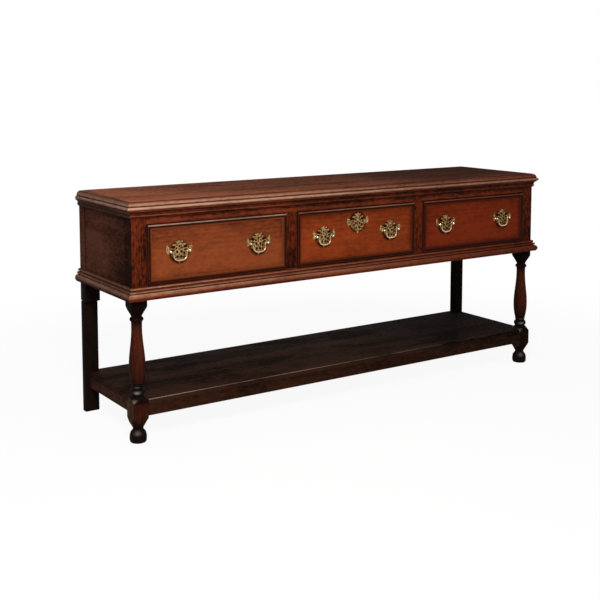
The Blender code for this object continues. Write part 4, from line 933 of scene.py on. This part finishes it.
# Bail as (x, z, radius) about its hinge: a U of round bar, thin at its pins and full at the grip
BAIL_TOP = 0.0310            # half the span between the posts' inner faces
ARM, GRIP = 0.0021, 0.0032
BOW_HALF, BOW_DROP, BOW_FROM = 0.0250, 0.0196, -0.0120
SQUARED = 0.75               # power that fills out the corners of the bow
BOW_STEPS = 14
BAIL_WEAR = ((0.0, 0.15), (0.032, 0.75))         # by depth below the hinge
bail_path = [
    (POST_REACH + 0.0015, 0.0, 0.0015), (BAIL_TOP, 0.0, 0.0017), (BAIL_TOP - 0.0008, -0.0001, 0.0019),
    *[(x, z, ARM) for x, z in arc((0.0300, -0.0050), (0.0050, 0.0050), 80, 180, 7)],
    *[(BOW_HALF * across ** SQUARED, BOW_FROM - BOW_DROP * down ** SQUARED,
       ARM + (GRIP - ARM) * i / BOW_STEPS)
      for i, (across, down) in enumerate(arc((0.0, 0.0), (1.0, 1.0), 0, 90, BOW_STEPS))]]
bail_path += [(-x, z, radius) for x, z, radius in reversed(bail_path[:-1])]

for name, middle in DRAWERS.items():
    for side, sign in (("left", -1), ("right", 1)):
        pull = middle + sign * PULL_REACH
        bm, rubbed_and_lit = cast_plate(pull, PULL_Z, oval(0, 17, 6.8, 9.4), oval(0, 6.4, 5.4, 5.4))
        plate = set(bm.verts)
        for post in (-1, 1):
            x = pull + post * POST_REACH
            spun(bm, [(x + r, y, PULL_Z) for r, y in post_profile], (x, 0.0, PULL_Z), (0, 1, 0), POST_STEPS)
        for vertex in set(bm.verts) - plate:
            vertex[rubbed_and_lit] = HEAD_WEAR if vertex.co.y < HINGE_Y else NECK_WEAR
            for face in vertex.link_faces:
                face.material_index = 1
        stand_in(bm, f"pull_{name}_{side}", (plate_brass, post_brass), f"{name}_drawer", "aged_brass",
                 f"pull_plate_{name}_{side}")

        bar = bpy.data.curves.new("bail", 'CURVE')
        bar.dimensions = '3D'
        bar.bevel_depth = 1.0
        bar.bevel_resolution = 4
        bar.use_fill_caps = True
        spline = bar.splines.new('POLY')
        spline.points.add(len(bail_path) - 1)
        for point, (x, z, radius) in zip(spline.points, bail_path):
            point.co = (pull + x, HINGE_Y, PULL_Z + z, 1.0)
            point.radius = radius
        bm, rubbed_and_lit = meshed(bar)
        for vertex in bm.verts:
            vertex[rubbed_and_lit] = between(BAIL_WEAR, PULL_Z - vertex.co.z)
        stand_in(bm, f"swing_bail_{name}_{side}", (bail_brass,), f"{name}_drawer_{side}_bail", "aged_brass",
                 f"bail_{name}_{side}")

keyhole = mirrored(arc((0.0, 4.0), (3.5, 3.5), 90, -62, 10) + [(1.7, -0.5), (1.7, -4.8)])
bm, rubbed_and_lit = cast_plate(0.0, ESCUTCHEON_Z, keyhole)
stand_in(bm, "pierced_escutcheon", (plate_brass,), "middle_drawer", "aged_brass", "escutcheon")


# Lock and nuts
# A wrought-iron lock let into the back of the middle drawer front, and square iron nuts that hold the
# posts of the pulls. Both are brown with age, dull and pitted.

iron, tree, shader, place = blank("browned_wrought_iron")
rust = add(tree, "TexNoise", {"Vector": place, "Scale": 160.0, "Detail": 5.0, "Roughness": 0.65})
spots = add(tree, "MapRange", {"Value": rust, "From Min": 0.40, "From Max": 0.62})
colour = add(tree, "Mix", {0: spots, 6: linear("#4a4642"), 7: linear("#3a2a20")}, data_type='RGBA', give=2)
dull = add(tree, "MapRange", {"Value": spots, "To Min": 0.42, "To Max": 0.75})
pitted = add(tree, "Bump", {"Height": rust, "Strength": 0.4, "Distance": 0.0005})
feed(tree, shader, {"Base Color": colour, "Roughness": dull, "Normal": pitted, "Metallic": 0.9})
dress(iron, "drawer_lock")

FRONT_BACK = -0.196          # inner face of the drawer fronts
NUT_HALF, NUT_ROUND = 0.005, 0.0006
NUT_NEAR, NUT_FAR = 0.0001, 0.0030       # its faces behind the drawer front
for name, middle in DRAWERS.items():
    bm = bmesh.new()
    for pull in (-1, 1):
        for post in (-1, 1):
            x = middle + pull * PULL_REACH + post * POST_REACH
            block(bm, (x - NUT_HALF, FRONT_BACK + NUT_NEAR, PULL_Z - NUT_HALF),
                  (x + NUT_HALF, FRONT_BACK + NUT_FAR, PULL_Z + NUT_HALF), NUT_ROUND)
    stand_in(bm, f"pull_nuts_{name}", (iron,), f"{name}_drawer", "lock_iron")


# Floor, light and camera
# A plain white floor that runs into a white background, soft light from the front left, and a camera
# with a raised front, as furniture is photographed, so that the legs stay upright.

FLOOR_HALF = 30.0
bm = bmesh.new()
bmesh.ops.create_grid(bm, x_segments=1, y_segments=1, size=FLOOR_HALF)
data = bpy.data.meshes.new("floor")
bm.to_mesh(data)
bm.free()
floor = placed("floor", data)


def seen_ray(tree):
    """1 for the rays that show the background: from the camera, or off gloss or through glass."""
    seen = add(tree, "LightPath", give="Is Camera Ray")
    for kind in ("Is Glossy Ray", "Is Transmission Ray"):
        seen = add(tree, "Math", {0: seen, 1: add(tree, "LightPath", give=kind)}, operation='MAXIMUM')
    return seen


WHITE = (1.0, 1.0, 1.0, 1.0)
paper, tree, shader, place = blank("white_paper")
feed(tree, shader, {"Base Color": linear("#f2f1ef"), "Roughness": 0.9, "Specular IOR Level": 0.0})
glow = add(tree, "Emission", {"Color": WHITE, "Strength": 1.0})
far = add(tree, "VectorMath", {0: place}, operation='LENGTH', give="Value")
far = add(tree, "MapRange", {"Value": far, "From Min": 1.1, "From Max": 2.6, "To Min": 0.93, "To Max": 1.0},
          **SOFT)
share = add(tree, "Math", {0: seen_ray(tree), 1: far}, operation='MULTIPLY')
whole = add(tree, "MixShader", {0: share, 1: shader.outputs[0], 2: glow})
feed(tree, tree.nodes["Material Output"], {"Surface": whole})
data.materials.append(paper)

world = bpy.data.worlds.new("studio")
world.use_nodes = True
tree = world.node_tree
strength = add(tree, "MapRange", {"Value": seen_ray(tree), "To Min": 0.20, "To Max": 1.0})
feed(tree, tree.nodes["Background"], {"Color": WHITE, "Strength": strength})
bpy.context.scene.world = world


def softbox(name, place, target, size, watts):
    """Square soft light that faces a point."""
    lamp = bpy.data.lights.new(name, 'AREA')
    lamp.shape = 'SQUARE'
    lamp.size = size
    lamp.energy = watts
    made = placed(name, lamp)
    made.location = place
    made.rotation_euler = (Vector(target) - Vector(place)).to_track_quat('-Z', 'Y').to_euler()


softbox("key", (-1.9, -2.5, 2.5), (-0.4, 0.0, 0.6), 0.7, 112.0)
softbox("fill", (2.8, -3.0, 1.8), (0.2, 0.0, 0.5), 2.0, 4.0)
softbox("overhead", (-0.7, 0.2, 2.3), (-0.5, 0.0, 0.8), 1.0, 9.0)

camera = placed("camera", bpy.data.cameras.new("camera"))
camera.data.lens = 62.49
camera.data.sensor_width = 36.0
camera.data.shift_y = -0.200
YAW, PITCH_DOWN = 0.5913, 0.0966
sight = Vector((sin(YAW) * cos(PITCH_DOWN), cos(YAW) * cos(PITCH_DOWN), -sin(PITCH_DOWN)))
camera.location = (-2.4062, -3.4018, 1.2463)
camera.rotation_euler = sight.to_track_quat('-Z', 'Y').to_euler()
bpy.context.scene.camera = camera
bpy.context.scene.view_settings.view_transform = 'Standard'
